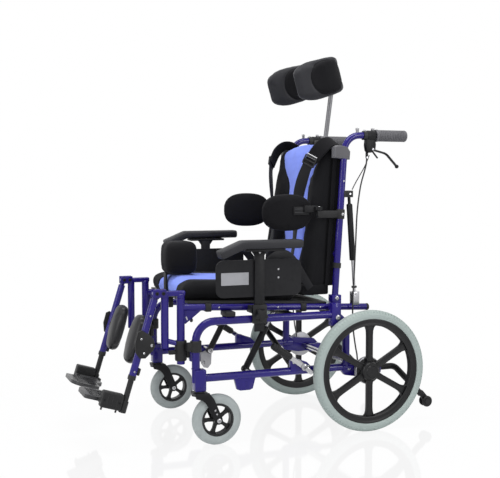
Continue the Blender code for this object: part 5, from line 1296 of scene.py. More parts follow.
# %% Helpers for places on the leg
LEG_DOWN = Vector((0.0, -0.2924, -0.9563))
LEG_FORWARD = Vector((0.0, -0.9563, 0.2924))
CALF_DOWN = 0.157
FOOT_DOWN = 0.354
FOOT_HINGE_X = 0.181


def leg_point(down, forward=0.0, x=SEAT_X):
    """Point at a distance down the leg from the knee and in front of its axis."""
    return beside(KNEE + LEG_DOWN * down + LEG_FORWARD * forward, x)


def leg_block(x_range, down_range, forward_range, soft=0.0015, segments=2):
    """Block lined up with the leg."""
    bm = block(x_range, forward_range, down_range, soft, segments)
    turn = Matrix(((1, 0, 0, 0), (0, LEG_FORWARD.y, LEG_DOWN.y, KNEE.y),
                   (0, LEG_FORWARD.z, LEG_DOWN.z, KNEE.z), (0, 0, 0, 1)))
    bmesh.ops.transform(bm, matrix=turn, verts=bm.verts)
    bmesh.ops.recalc_face_normals(bm, faces=bm.faces)
    return bm


# %% Hangers
def hanger():
    post = tube([(SEAT_X, -0.673, 0.308), (SEAT_X, -0.673, 0.476)], 0.012)
    top_bar = block(about(SEAT_X, 0.0095), (-0.688, -0.6085), (0.467, 0.4835), 0.0045, 3)
    cap = rod((SEAT_X, SEAT_FRONT, 0.4602), (SEAT_X, SEAT_FRONT, 0.472), 0.0125)
    link = tube([(SEAT_X, -0.673, 0.331), (SEAT_X, -0.636, 0.32)], 0.008)
    clevis = block(about(SEAT_X, 0.0082), (-0.6865, -0.67), (0.465, 0.489), 0.003)
    cheeks = [block(about(x, 0.0022), (-0.7125, -0.67), (0.4645, 0.49), 0.002, 3)
              for x in about(SEAT_X, 0.0107)]
    return joined(post, top_bar, cap, link, clevis, *cheeks)


add_pair("hanger_tubes", hanger, frame_paint, "hanger", ["hanger"])


# %% Knee pins and hanger latches
def knee_pins():
    return joined(*[bolt((SEAT_X + side * 0.0127, y, KNEE.z), (side, 0, 0), 0.0055, 0.003)
                    for side in (1, -1) for y in (KNEE.y, KNEE.y + 0.02)])


add_pair("knee_pins", knee_pins, black_coat, "hanger")


def hanger_latch():
    """Collar on the seat frame's front tube with the release lever of the swing-away lock."""
    collar = turned([(0, 0.0127), (0, 0.0172), (0.003, 0.0185), (0.059, 0.0185), (0.062, 0.0172),
                     (0.062, 0.0127)], (SEAT_X, SEAT_FRONT, 0.266), (0, 0, 1), 30, closed=True)
    body = block(about(SEAT_X, 0.012), (-0.606, -0.595), (0.274, 0.314), 0.003)
    lever = block(about(SEAT_X, 0.007), (-0.662, -0.635), (0.286, 0.299), 0.004, 3)
    return joined(collar, body, lever)


add_pair("hanger_latch", hanger_latch, black_plastic, "hanger")


# %% Leg tubes
def leg_tube():
    leg = tube([leg_point(0.0185), leg_point(0.271)], 0.0115)
    neck = rod(leg_point(0.0), leg_point(0.022), 0.0078)
    eye = cross_pin(KNEE, 0.008, 0.0115, 0.001)
    return joined(leg, neck, eye)


add_pair("leg_tube_blue", leg_tube, frame_paint, "leg_tube", ["leg_tube"])


# %% Calf brackets
def leg_tube_black():
    """Fan bracket of the calf pad, the collar at the tube's end and the grip beside it."""
    fan = plate([(-0.76, 0.364), (-0.748, 0.369), (-0.718, 0.349), (-0.711, 0.337),
                 (-0.708, 0.316), (-0.714, 0.304), (-0.738, 0.282), (-0.756, 0.283),
                 (-0.768, 0.3), (-0.77, 0.33)], SEAT_X + 0.008, SEAT_X + 0.0145, 0.0015)
    collar = turned([(0, 0.0105), (0, 0.0127), (0.013, 0.0127), (0.014, 0.0105)], leg_point(0.258),
                    LEG_DOWN, 28, closed=True)
    grip = leg_block(about(SEAT_X, 0.006), (0.232, 0.255), (-0.02, -0.01), 0.003)
    return joined(fan, collar, grip)


add_pair("calf_bracket", leg_tube_black, black_plastic, "leg_tube")


# %% Screws of the leg tubes
def leg_tube_steel():
    calf = leg_point(CALF_DOWN)
    pin = rod(calf, calf - ACROSS * 0.03, 0.0048)
    heads = [bolt((SEAT_X + 0.0143, y, z), (1, 0, 0), size, 0.003)
             for y, z, size in ((-0.718, 0.321, 0.0045), (-0.75, 0.342, 0.0035), (-0.742, 0.298, 0.0035))]
    clips = [bolt(leg_point(down, 0.0, SEAT_X + 0.011), (1, 0, 0), 0.003, 0.002) for down in (0.07, 0.245)]
    return joined(pin, *heads, *clips)


add_pair("leg_tube_fasteners", leg_tube_steel, plated_steel, "leg_tube")


# %% Sliding tubes
def leg_slide():
    inner = rod(leg_point(0.181), leg_point(0.373), 0.009)
    sleeve = rod(leg_point(0.338), leg_point(0.374), 0.0118, 0.001)
    body = leg_block((0.193, SEAT_X + 0.0135), (0.32, 0.37), (0.008, 0.074), 0.005, 3)
    tips = [rod(leg_point(0.369, forward), leg_point(0.379, forward), 0.003, 0.0008, 12)
            for forward in (0.02, 0.066)]
    ribs = [leg_block((SEAT_X + 0.0125, SEAT_X + 0.0143), (0.329, 0.363), (forward, forward + 0.003),
                      0.0006, 1) for forward in (0.01, 0.025, 0.04, 0.055)]
    lugs = [leg_block((0.174, 0.201), about(FOOT_DOWN, 0.0075), (low, low + 0.0095), 0.0015)
            for low in (-0.0125, 0.064)]
    return joined(inner, sleeve, body, *tips, *ribs, *lugs)


add_pair("leg_slide_black", leg_slide, black_plastic, "leg_slide", ["leg_slide"])


def slide_pins():
    pin = rod(leg_point(FOOT_DOWN, -0.008, FOOT_HINGE_X), leg_point(FOOT_DOWN, 0.069, FOOT_HINGE_X), 0.0035)
    heads = [bolt(leg_point(0.346, forward, SEAT_X + 0.0133), (1, 0, 0), 0.004, 0.002)
             for forward in (0.018, 0.066)]
    return joined(pin, *heads)


add_pair("foot_hinge_pin", slide_pins, black_coat, "leg_slide")


# %% Foot plates
def foot_plate():
    """Ribbed plate with one round corner and a heel notch, in the leg's own plane."""
    inner, outer = 0.028, 0.1698
    rear, heel, front = -0.006, 0.022, 0.113
    bm = bmesh.new()
    outline = [(outer, rear), (outer, front), (inner, front), (inner, heel), (inner + 0.064, heel),
               (inner + 0.09, rear)]
    bm.faces.new([bm.verts.new((x, y, 0.0)) for x, y in outline])
    far_corner = [vert for vert in bm.verts if vert.co.x < 0.1 and vert.co.y > 0.1]
    bevelled(bm, far_corner, 0.045, 10, "VERTICES")
    small = [vert for vert in bm.verts if vert.co.x > outer - 0.001 or vert.co.y < heel + 0.001]
    bevelled(bm, small, 0.01, 4, "VERTICES")
    for thickness, depth in ((0.003, 0.0), (0.006, 0.0), (0.001, -0.001)):
        middle = max(bm.faces, key=lambda face: face.calc_area())
        bmesh.ops.inset_region(bm, faces=[middle], thickness=thickness, depth=depth)
    thickened(bm, bm.faces[:], (0, 0, -0.0115))
    place = Matrix(((1, 0, 0, 0),
                    (0, LEG_FORWARD.y, -LEG_DOWN.y, leg_point(0.35).y),
                    (0, LEG_FORWARD.z, -LEG_DOWN.z, leg_point(0.35).z), (0, 0, 0, 1)))
    bmesh.ops.transform(bm, matrix=place, verts=bm.verts)
    bmesh.ops.recalc_face_normals(bm, faces=bm.faces)
    treads = [leg_block((x, x + 0.003), (0.3497, 0.3513), (0.028, 0.093), 0.0005, 1)
              for x in [0.05 + 0.0105 * number for number in range(11)]]
    barrel = rod(leg_point(FOOT_DOWN, -0.0027, FOOT_HINGE_X), leg_point(FOOT_DOWN, 0.0637, FOOT_HINGE_X),
                 0.007)
    web = leg_block((0.164, FOOT_HINGE_X), about(FOOT_DOWN, 0.0036), (-0.0015, 0.0625), 0.0015)
    return joined(bm, barrel, web, *treads)


add_pair("foot_plate_ribbed", foot_plate, tread_plastic, "footplate", ["footplate"])

# %% [markdown]
# ## The back frame and push handles
#
# Two blue canes rise from hinges on the seat rails and bend back into the handles. They carry
# the cushion, the headrest's square socket, the clamps of the side supports and the upper ends
# of the recline springs. Black corner brackets hold the cover's top corners against the canes,
# and each handle has a ribbed rubber grip, a brake lever in a moulded housing and its cable.

# %% Canes and crossbars
CANE_SLOPE = 0.0652
HANDLE_HEIGHT = 0.97
CROSSBARS = (0.58, 0.925)


def cane_y(z):
    """Depth of the canes' centre line."""
    return BACK_HINGE.y + CANE_SLOPE * (z - BACK_HINGE.z)


def cane():
    foot = 0.445
    post = tube([(SEAT_X, cane_y(foot), foot), (SEAT_X, cane_y(HANDLE_HEIGHT), HANDLE_HEIGHT),
                 (SEAT_X, 0.155, HANDLE_HEIGHT)], 0.011, bend=0.055)
    eye = cross_pin(BACK_HINGE, 0.0106, 0.0122, 0.001)
    bars = [tube([(-0.001, cane_y(z), z), (SEAT_X, cane_y(z), z)], 0.0095) for z in CROSSBARS]
    return joined(post, eye, *bars)


left_cane = add_pair("back_cane", cane, frame_paint, "back")[0]
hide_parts("back_frame")


# %% Fittings of the canes
def back_fittings():
    """Side support clamp, spring clevis, cable clip and handle collar of one cane."""
    slope = Vector((0, CANE_SLOPE, 1)).normalized()
    clamp = turned([(0, 0.0112), (0, 0.0132), (0.002, 0.0145), (0.03, 0.0145), (0.032, 0.0132),
                    (0.032, 0.0112)], (SEAT_X, cane_y(0.696), 0.696), slope, 30, closed=True)
    arm = block(about(SEAT_X, 0.008), (-0.159, cane_y(0.712)), (0.7, 0.724), 0.003)
    spring_foot = block(about(SEAT_X, 0.0104), (cane_y(GAS_HIGH.z), -0.0555), about(GAS_HIGH.z, 0.011),
                        0.002)
    cheeks = [block(about(x, 0.0021), (-0.0565, -0.033), about(GAS_HIGH.z, 0.011), 0.001)
              for x in about(SEAT_X, 0.0083)]
    clip = turned([(0, 0.0112), (0, 0.0136), (0.017, 0.0136), (0.017, 0.0112)],
                  (SEAT_X, cane_y(0.535), 0.535), slope, 24, closed=True)
    fork_collar = turned([(0, 0.0112), (0, 0.015), (0.014, 0.015), (0.014, 0.0112)],
                         (SEAT_X, 0.006, HANDLE_HEIGHT), (0, 1, 0), 24, closed=True)
    return joined(clamp, arm, spring_foot, *cheeks, clip, fork_collar)


add_pair("back_fittings", back_fittings, black_plastic, "back")


# %% Corner brackets
def corner_bracket():
    """Grey moulded corner that joins the cover's top to the cane."""
    outline = [(-0.101, 0.896), (-0.046, 0.89), (-0.044, 0.916), (-0.056, 0.933), (-0.09, 0.937),
               (-0.101, 0.93)]
    return plate(outline, SEAT_X - 0.016, SEAT_X + 0.0118, 0.004, 3)


add_pair("corner_bracket", corner_bracket, grip_rubber, "back")


# %% Plates behind the back cover
def cover_plates():
    plates = [block((-half, half), (cane_y(z) - 0.0115, cane_y(z)), about(z, 0.014), 0.002)
              for z, half in zip(CROSSBARS, (0.1, 0.06))]
    socket = block((-0.019, 0.019), (cane_y(CROSSBARS[1]), -0.018), (0.908, 0.962), 0.003)
    knob = turned([(0, 0), (0, 0.006), (0.01, 0.006), (0.011, 0.012), (0.019, 0.013), (0.021, 0.011),
                   (0.021, 0.0)], (0, -0.0185, 0.935), (0, 1, 0), 24)
    return joined(*plates, socket, knob)


add_piece("back_cover_plates", cover_plates(), black_plastic, "back")


# %% Screws and pins of the back
def back_steel():
    pins = [rod((SEAT_X, -0.15, 0.7), (SEAT_X, -0.15, 0.738), 0.004),
            cross_pin(GAS_HIGH, 0.0125, 0.0038),
            bolt((SEAT_X + 0.0143, cane_y(0.712) + 0.002, 0.712), (1, 0, 0), 0.005, 0.003),
            bolt((SEAT_X + 0.011, cane_y(0.82), 0.82), (1, 0, 0), 0.003, 0.0018),
            bolt((SEAT_X, 0.0125, HANDLE_HEIGHT + 0.0146), (0, 0, 1), 0.005, 0.004)]
    return joined(*pins)


add_pair("back_fasteners", back_steel, plated_steel, "back")


# %% Hand grips
def hand_grip():
    profile = [(0.052, 0.0), (0.052, 0.0185), (0.0545, 0.0205), (0.059, 0.0205), (0.061, 0.0178)]
    for rib in range(15):
        along = 0.064 + rib * 0.0062
        profile += [(along, 0.019), (along + 0.0038, 0.019), (along + 0.0046, 0.018),
                    (along + 0.0056, 0.018)]
    profile += [(0.158, 0.0192), (0.162, 0.0192), (0.165, 0.018), (0.1665, 0.015), (0.1668, 0.0)]
    return turned(profile, (SEAT_X, 0, HANDLE_HEIGHT), (0, 1, 0), 36)


add_pair("hand_grip_ribbed", hand_grip, grip_rubber, "back", ["hand_grip"])


# %% Brake lever housings
def lever_housing():
    clamp = turned([(0.02, 0.0112), (0.02, 0.0155), (0.0215, 0.0168), (0.048, 0.0168), (0.05, 0.0155),
                    (0.05, 0.0112)], (SEAT_X, 0, HANDLE_HEIGHT), (0, 1, 0), 30, closed=True)
    body = plate([(0.016, 0.96), (0.014, 0.938), (0.017, 0.92), (0.024, 0.913), (0.036, 0.914),
                  (0.05, 0.922), (0.052, 0.94), (0.049, 0.96)], SEAT_X - 0.0095, SEAT_X + 0.0095, 0.003, 3)
    boss = turned([(0, 0), (0, 0.008), (0.001, 0.009), (0.005, 0.009), (0.006, 0.007), (0.006, 0)],
                  (SEAT_X + 0.0085, 0.034, 0.966), (1, 0, 0), 24)
    barrel = rod((SEAT_X, 0.022, 0.918), (SEAT_X, 0.022, 0.9), 0.0045)
    return joined(clamp, body, boss, barrel)


add_pair("brake_lever_housing", lever_housing, black_coat, "back")


# %% Brake levers
def hand_lever():
    path = rounded([(SEAT_X, 0.041, 0.924), (SEAT_X, 0.094, 0.911), (SEAT_X, 0.134, 0.87)], 0.035, 8)
    blade = band(path, 0.011, 0.006, (1, 0, 0), 0.002)
    ball_half = [(-0.0065, 0.0), (-0.0058, 0.0035), (-0.0035, 0.0058), (0.0, 0.0066)]
    ball = turned(both_sides(ball_half), (SEAT_X, 0.1355, 0.8688), (1, 0, 0), 24)
    eye = cross_pin(LEVER_PIVOT, 0.005, 0.0085, 0.001)
    tab = band([(SEAT_X, 0.043, 0.918), (SEAT_X, 0.062, 0.896)], 0.006, 0.005, (1, 0, 0), 0.0015)
    return joined(blade, ball, eye, tab)


add_pair("hand_lever_blade", hand_lever, black_coat, "hand_brake_lever",
         ["hand_brake_lever"])


def lever_screws():
    screws = [bolt(beside(LEVER_PIVOT, SEAT_X + side * 0.0094), (side, 0, 0), 0.0045, 0.0025)
              for side in (1, -1)]
    nut = turned([(0, 0.003), (0, 0.005), (0.006, 0.005), (0.006, 0.003)], (SEAT_X, 0.022, 0.901),
                 (0, 0, -1), 6, closed=True)
    knob = [(0, 0), (0, 0.0048), (0.014, 0.0048), (0.016, 0.006), (0.022, 0.006), (0.023, 0.0)]
    knobs = [turned(knob, (SEAT_X, y, HANDLE_HEIGHT + 0.002), (0, 0, 1), 16) for y in (-0.014, 0.043)]
    return joined(*screws, nut, *knobs)


add_pair("lever_housing_screws", lever_screws, plated_steel, "back")

# %% [markdown]
# ## The recline springs
#
# Behind each cane a gas spring holds the back at its angle: a black cylinder above, a thin
# bright rod below, with a rubber stop where the rod meets its bright foot on the seat rail.

# %% Recline spring rods
GAS_WAY = (GAS_HIGH - GAS_LOW).normalized()


def recline_rod():
    return joined(rod(GAS_LOW + GAS_WAY * 0.004, GAS_LOW + GAS_WAY * 0.23, 0.0046),
                  cross_pin(GAS_LOW, 0.0055, 0.008, 0.001))


add_pair("recline_spring_rod", recline_rod, plated_steel, "recline_rod", ["recline_rod"])


def recline_stop():
    return turned([(0.02, 0.0046), (0.02, 0.0085), (0.023, 0.0092), (0.026, 0.0085), (0.026, 0.0046)],
                  GAS_LOW, GAS_WAY, 28, closed=True)


add_pair("recline_spring_stop", recline_stop, black_plastic, "recline_rod")


# %% Recline spring cylinders
def recline_cylinder():
    length = (GAS_HIGH - GAS_LOW).length
    return joined(turned([(0.112, 0.005), (0.112, 0.0085), (0.114, 0.01), (0.296, 0.01),
                          (0.2985, 0.0085), (0.3, 0.005), (0.3, 0.0)], GAS_LOW, GAS_WAY, 32),
                  rod(GAS_LOW + GAS_WAY * 0.295, GAS_LOW + GAS_WAY * (length - 0.003), 0.005),
                  cross_pin(GAS_HIGH, 0.005, 0.008, 0.001))


add_pair("recline_spring_body", recline_cylinder, black_coat, "recline_cylinder",
         ["recline_cylinder"])

# %% [markdown]
# ## Headrest bar and support brackets
#
# The headrest stands on one bright round bar with a ball joint's clevis at its top. The side
# supports swing on black brackets with a slot, through which the pad is screwed on.


# %% Headrest bar
def head_bar_point(z):
    """Point of the leaning bar's centre line."""
    return Vector((0.0, -0.0355 + 0.1334 * (z - 0.9), z))


HEAD_PIVOT = head_bar_point(1.165)


def head_bar():
    return joined(rod(head_bar_point(0.8), head_bar_point(1.162), 0.008, 0.0012),
                  cross_pin(HEAD_PIVOT, 0.007, 0.01, 0.0012))


add_piece("headrest_bar_plated", head_bar(), brushed_steel, "headrest_bar", ["headrest_bar"])


# %% Headrest clevis
def head_clevis():
    lugs = [block(about(x, 0.0025), (-0.035, HEAD_PIVOT.y + 0.01), about(HEAD_PIVOT.z, 0.012), 0.002)
            for x in (-0.011, 0.011)]
    pin = cross_pin(HEAD_PIVOT, 0.015, 0.004)
    back_plate = block((-0.03, 0.03), (-0.036, -0.031), (1.14, 1.19), 0.002)
    return joined(*lugs, pin, back_plate)


add_piece("headrest_clevis", head_clevis(), black_coat, "headrest_pad")


# %% Side support brackets
def lateral_bracket():
    low, high = 0.7243, 0.737
    hub = turned([(0, 0.0042), (0, 0.009), (0.001, 0.0098), (high - low - 0.001, 0.0098),
                  (high - low, 0.009), (high - low, 0.0042)], (SEAT_X, -0.15, low), (0, 0, 1), 28,
                 closed=True)
    arm = block((0.197, 0.205), (-0.2, -0.15), (low - 0.006, high + 0.004), 0.002)
    elbow = block((0.198, SEAT_X + 0.002), (-0.164, -0.14), (low, high), 0.002)
    slotted = block((0.1945, 0.1985), (-0.236, -0.18), (0.71, 0.737), 0.0016)
    return joined(hub, arm, elbow, slotted)


add_pair("side_support_bracket", lateral_bracket, black_coat, "lateral_support")


def lateral_slots():
    """Raised rims of the slot in the bracket."""
    return joined(*[block((0.1983, 0.1991), (-0.232, -0.19), about(z, 0.0012), 0.0004, 1)
                    for z in (0.718, 0.729)])


add_pair("side_support_slots", lateral_slots, arm_skin, "lateral_support")

# %% [markdown]
# ## How a cushion is made
#
# A real cushion is foam in a sewn cover that is a little too small for it, so it bulges between
# its seams. The same is done here. A rounded block is bent to the cushion's plan, remeshed into
# even cells, and blown up by a cloth simulation with pressure and no gravity. How far a point may
# move is capped, so the cushion stays in its place. After that the seams are pressed in, because
# the remesh would have closed them, and one subdivision makes the surface smooth.

# %% Padded block and cloth simulation
SIMULATION_STEPS = 20
CLOTH_PRESSURE = 4.0
CLOTH_STIFFNESS = 15.0


def padded_block(half_sizes, radius, cell, bend):
    """Rounded block of even cells; bend moves each point from the block to its place."""
    bm = block(*[(-half, half) for half in half_sizes], soft=radius, segments=4)
    for axis in range(3):
        half = half_sizes[axis] - radius
        count = max(1, round(2 * half / cell))
        normal = [1.0 if number == axis else 0.0 for number in range(3)]
        for step in range(1, count):
            spot = [component * (-half + 2 * half * step / count) for component in normal]
            geom = bm.verts[:] + bm.edges[:] + bm.faces[:]
            bmesh.ops.bisect_plane(bm, geom=geom, dist=1e-6, plane_co=spot, plane_no=normal)
    for vert in bm.verts:
        vert.co = bend(vert.co)
    bmesh.ops.recalc_face_normals(bm, faces=bm.faces)
    return bm


# %% Cloth simulation
def applied(obj):
    """Replace the object's mesh with what its modifiers make of it."""
    depsgraph = bpy.context.evaluated_depsgraph_get()
    mesh = bpy.data.meshes.new_from_object(obj.evaluated_get(depsgraph))
    obj.modifiers.clear()
    old = obj.data
    obj.data = mesh
    bpy.data.meshes.remove(old)


def puffed(bm, voxel, cap):
    """Remesh a shape and let cloth under pressure swell it by at most cap. Returns a bmesh."""
    obj = mesh_object("cushion_work", bm)
    remesh = obj.modifiers.new("remesh", "REMESH")
    remesh.mode = "VOXEL"
    remesh.voxel_size = voxel
    applied(obj)
    start = [vert.co.copy() for vert in obj.data.vertices]
    cloth = obj.modifiers.new("cloth", "CLOTH")
    cloth.settings.use_pressure = True
    cloth.settings.uniform_pressure_force = CLOTH_PRESSURE
    cloth.settings.tension_stiffness = CLOTH_STIFFNESS
    cloth.settings.compression_stiffness = CLOTH_STIFFNESS
    cloth.settings.effector_weights.gravity = 0.0
    cloth.point_cache.frame_start = 1
    cloth.point_cache.frame_end = SIMULATION_STEPS
    for number in range(1, SIMULATION_STEPS + 1):
        bpy.context.scene.frame_set(number)
    applied(obj)
    bpy.context.scene.frame_set(1)
    result = bmesh.new()
    result.from_mesh(obj.data)
    bpy.data.objects.remove(obj)
    result.verts.ensure_lookup_table()
    farthest = 0.0
    for vert, place in zip(result.verts, start):
        move = vert.co - place
        if move.length > cap:
            vert.co = place + move.normalized() * cap
        farthest = max(farthest, min(move.length, cap))
    bmesh.ops.smooth_vert(result, verts=result.verts, factor=0.5, use_axis_x=True, use_axis_y=True,
                          use_axis_z=True)
    print("swelled by up to", round(farthest * 1000, 1), "mm,", len(result.verts), "points")
    return result


# %% Seams
def creased(bm, depth_at):
    """Press seams in: depth_at gives how far a point sinks along its normal."""
    bm.normal_update()
    for vert in bm.verts:
        sink = depth_at(vert.co)
        if sink:
            vert.co -= vert.normal * sink
    return bm


def groove(distance, width, depth):
    """Depth of a seam at a distance from its middle."""
    share = max(0.0, 1.0 - (distance / width) ** 2)
    return depth * share * share


# %% Covers and their two colours
def padded_piece(name, bm, look, body, stands_for):
    piece = add_piece(name, bm, look, body, stands_for)
    piece.data.set_sharp_from_angle(angle=pi)
    smoother = piece.modifiers.new("smooth", "SUBSURF")
    smoother.levels = 1
    smoother.render_levels = 1
    return piece


def two_colours(piece, second_look, distance):
    """Cut a cover along the line where a distance is zero; its negative side gets a second finish."""
    shift = Vector((0.0, AXLE_SHIFT, 0.0))
    bm = bmesh.new()
    bm.from_mesh(piece.data)
    value = {vert: distance(vert.co - shift) for vert in bm.verts}
    shares = {edge: value[edge.verts[0]] / (value[edge.verts[0]] - value[edge.verts[1]])
              for edge in bm.edges if value[edge.verts[0]] * value[edge.verts[1]] < 0.0}
    made = bmesh.ops.bisect_edges(bm, edges=list(shares), cuts=1, edge_percents=shares)
    border = [item for item in made["geom_split"] if isinstance(item, bmesh.types.BMVert)]
    bmesh.ops.connect_verts(bm, verts=border)
    for face in bm.faces:
        face.material_index = 1 if distance(face.calc_center_median() - shift) < 0.0 else 0
    bm.to_mesh(piece.data)
    bm.free()
    piece.data.materials.append(second_look)


# %% [markdown]
# ## The seat cushion
#
# The seat cushion has a bright blue panel down its middle and black bolsters that rise at both
# sides. A seam separates them, and a second seam runs round under the top edge. At the front the
# cushion rounds over, and it is notched where the knee divider's stem passes.


# %% Seat cushion
SEAT_HALF = 0.196
SEAT_FRONT_EDGE = -0.615
SEAT_REAR_EDGE = -0.212
SEAT_HALF_LENGTH = (SEAT_REAR_EDGE - SEAT_FRONT_EDGE) / 2
SEAT_HALF_DEPTH = 0.027
SEAT_PANEL = 0.1
SEAT_LIFT = 0.0176
NOTCH_Y = -0.6035
NOTCH_HALF = 0.024


def smooth_step(value):
    share = min(max(value, 0.0), 1.0)
    return share * share * (3 - 2 * share)


def seat_shape(point):
    y = (SEAT_REAR_EDGE + SEAT_FRONT_EDGE) / 2 + point.y
    share = (point.z + SEAT_HALF_DEPTH) / (2 * SEAT_HALF_DEPTH)
    rise = 0.003 * smooth_step((abs(point.x) - SEAT_PANEL) / 0.04)
    crown = 0.009 * max(0.0, 1 - (point.x / SEAT_PANEL) ** 2)
    front = max(0.0, (-point.y / SEAT_HALF_LENGTH - 0.7) / 0.3)
    height = 0.052 + rise + crown - 0.012 * front ** 2
    return Vector((point.x, y, rail_height(y) + SEAT_LIFT + 0.0012 + share * height))


seat_bm = padded_block((SEAT_HALF - 0.005, SEAT_HALF_LENGTH - 0.005, SEAT_HALF_DEPTH), 0.019, 0.026,
                       seat_shape)
seat_bm = puffed(seat_bm, 0.0055, 0.0055)


# %% Seams and cover of the seat cushion
def seat_seams(point):
    top = point.z > rail_height(point.y) + SEAT_LIFT + 0.022
    along = groove(abs(abs(point.x) - SEAT_PANEL), 0.007, 0.0045) if top else 0.0
    belt = groove(abs(point.z - rail_height(point.y) - SEAT_LIFT - 0.014), 0.005, 0.002)
    return max(along, belt)


creased(seat_bm, seat_seams)
for vert in seat_bm.verts:
    vert.co.z = max(vert.co.z, rail_height(vert.co.y) + SEAT_LIFT)
    if vert.co.y < NOTCH_Y and abs(vert.co.x) < NOTCH_HALF:
        vert.co.y = NOTCH_Y
seat_cushion = padded_piece("seat_cushion_cover", seat_bm, black_mesh, "seat",
                            ["seat_cushion"])
two_colours(seat_cushion, blue_mesh, lambda point: abs(point.x) - SEAT_PANEL)

# %% [markdown]
# ## The back cushion
#
# The back cushion's blue panel is wide at the shoulders and narrow at the waist, between deep
# black bolsters whose flanks make the chair's big dark side. It leans with the canes, so it is
# made upright and sheared back with the same slope.

# %% Back cushion
BACK_HALF = 0.195
BACK_BOTTOM = 0.47
BACK_TOP = 0.93
BACK_HALF_HEIGHT = (BACK_TOP - BACK_BOTTOM) / 2
BACK_HALF_DEPTH = 0.025
BACK_SEAT = 0.0118
BACK_CUT = 0.01
BACK_FLANK_SEAM = 0.018


def back_panel_edge(z):
    up = min(max((z - BACK_BOTTOM) / (BACK_TOP - BACK_BOTTOM), 0.0), 1.0)
    return 0.06 + 0.1 * up - 0.052 * exp(-((up - 0.71) / 0.15) ** 2)


def back_shape(point):
    up = min(max((point.z + BACK_HALF_HEIGHT) / (2 * BACK_HALF_HEIGHT), 0.0), 1.0)
    z = (BACK_TOP + BACK_BOTTOM) / 2 + point.z + 0.028 * up * (1 - (point.x / BACK_HALF) ** 2)
    edge = back_panel_edge(z)
    side = 0.099 - 0.049 * up
    rise = (side - 0.044) * smooth_step((abs(point.x) - edge) / (0.45 * (BACK_HALF - edge)))
    crown = 0.008 * max(0.0, 1 - (point.x / edge) ** 2) * sin(pi * up)
    share = (BACK_HALF_DEPTH - point.y) / (2 * BACK_HALF_DEPTH)
    depth = share * (0.041 + BACK_CUT + rise + crown) - BACK_CUT
    return Vector((point.x, cane_y(z) - BACK_SEAT - 0.0014 - depth, z - BACK_CUT * (1 - up)))


back_bm = padded_block((BACK_HALF - 0.005, BACK_HALF_DEPTH, BACK_HALF_HEIGHT - 0.005), 0.019, 0.026,
                       back_shape)
back_bm = puffed(back_bm, 0.006, 0.0055)


# %% Seams and cover of the back cushion
def back_depth(point):
    """How far a point of the cushion stands in front of its back."""
    return cane_y(point.z) - BACK_SEAT - point.y


def back_seams(point):
    depth = back_depth(point)
    front = depth > 0.026
    panel = groove(abs(abs(point.x) - back_panel_edge(point.z)), 0.0075, 0.005) if front else 0.0
    flank = groove(abs(depth - BACK_FLANK_SEAM), 0.005, 0.0022)
    return max(panel, flank)


creased(back_bm, back_seams)
for vert in back_bm.verts:
    vert.co.z = max(vert.co.z, BACK_BOTTOM)
    vert.co.y = min(vert.co.y, cane_y(vert.co.z) - BACK_SEAT)
back_cushion = padded_piece("back_cushion_cover", back_bm, black_mesh, "back",
                            ["back_cushion"])
two_colours(back_cushion, blue_mesh, lambda point: max(abs(point.x) - back_panel_edge(point.z),
                                                       BACK_FLANK_SEAM - back_depth(point)))


# %% Skirt of the back cover
def back_skirt():
    """Lower edge of the cover, which hangs down to the seat rails behind the seat cushion."""
    return block((-0.19, 0.19), (-0.202, cane_y(0.46) - 0.013), (0.446, 0.48), 0.006, 3)


add_piece("back_cover_skirt", back_skirt(), black_mesh, "back")

# %% [markdown]
# ## The headrest
#
# The headrest is one long pad that is bent round the head like a U and leans forward. Behind
# each of its corners it swells into a lobe. On each lobe a seam is pressed in along an oval
# that is measured along the bent surface. The oval and the pad's middle are black; the band
# round the oval is a grey painted highlight, which stands for the light on the black pad's
# front edges and rim.

# %% Headrest pad
HEAD_HALF_WIDTH = 0.11
HEAD_CORNER = 0.05
HEAD_BACK = -0.042
HEAD_TIP = -0.195
HEAD_HEIGHT = 1.19
HEAD_FLAT = HEAD_HALF_WIDTH - HEAD_CORNER
HEAD_ARC = pi / 2 * HEAD_CORNER
HEAD_HALF_LENGTH = HEAD_FLAT + HEAD_ARC + HEAD_BACK - HEAD_CORNER - HEAD_TIP
HEAD_TURN = Matrix.Rotation(radians(16.0), 4, "X")
HEAD_LEAN = Matrix.Translation(HEAD_PIVOT) @ HEAD_TURN @ Matrix.Translation(-HEAD_PIVOT)
HEAD_UPRIGHT = HEAD_LEAN.inverted()
OVAL_ALONG = 0.132
OVAL_HALF_LONG = 0.054
OVAL_HALF_HIGH = 0.057
OVAL_SCALE = 0.055


def head_shape(point):
    size = abs(point.x)
    angle = min(max((size - HEAD_FLAT) / HEAD_CORNER, 0.0), pi / 2)
    tip = min(max(0.0, (size - HEAD_HALF_LENGTH + 0.072) / 0.072), 1.0)
    height = point.z * (1.0 - 0.72 * tip ** 2) ** 0.5 * (1.0 - 0.42 * max(0.0, 1 - size / 0.125) ** 1.5)
    lobe = 1.6 * exp(-((size - 0.095) / 0.045) ** 2) if point.y > 0 else 0.0
    thick = point.y * (1.0 + lobe)
    x = min(size, HEAD_FLAT) + HEAD_CORNER * sin(angle) + sin(angle) * thick
    y = (HEAD_BACK - HEAD_CORNER * (1 - cos(angle)) - max(0.0, size - HEAD_FLAT - HEAD_ARC)
         + cos(angle) * thick)
    return HEAD_LEAN @ Vector((x if point.x >= 0 else -x, y, HEAD_HEIGHT + height))


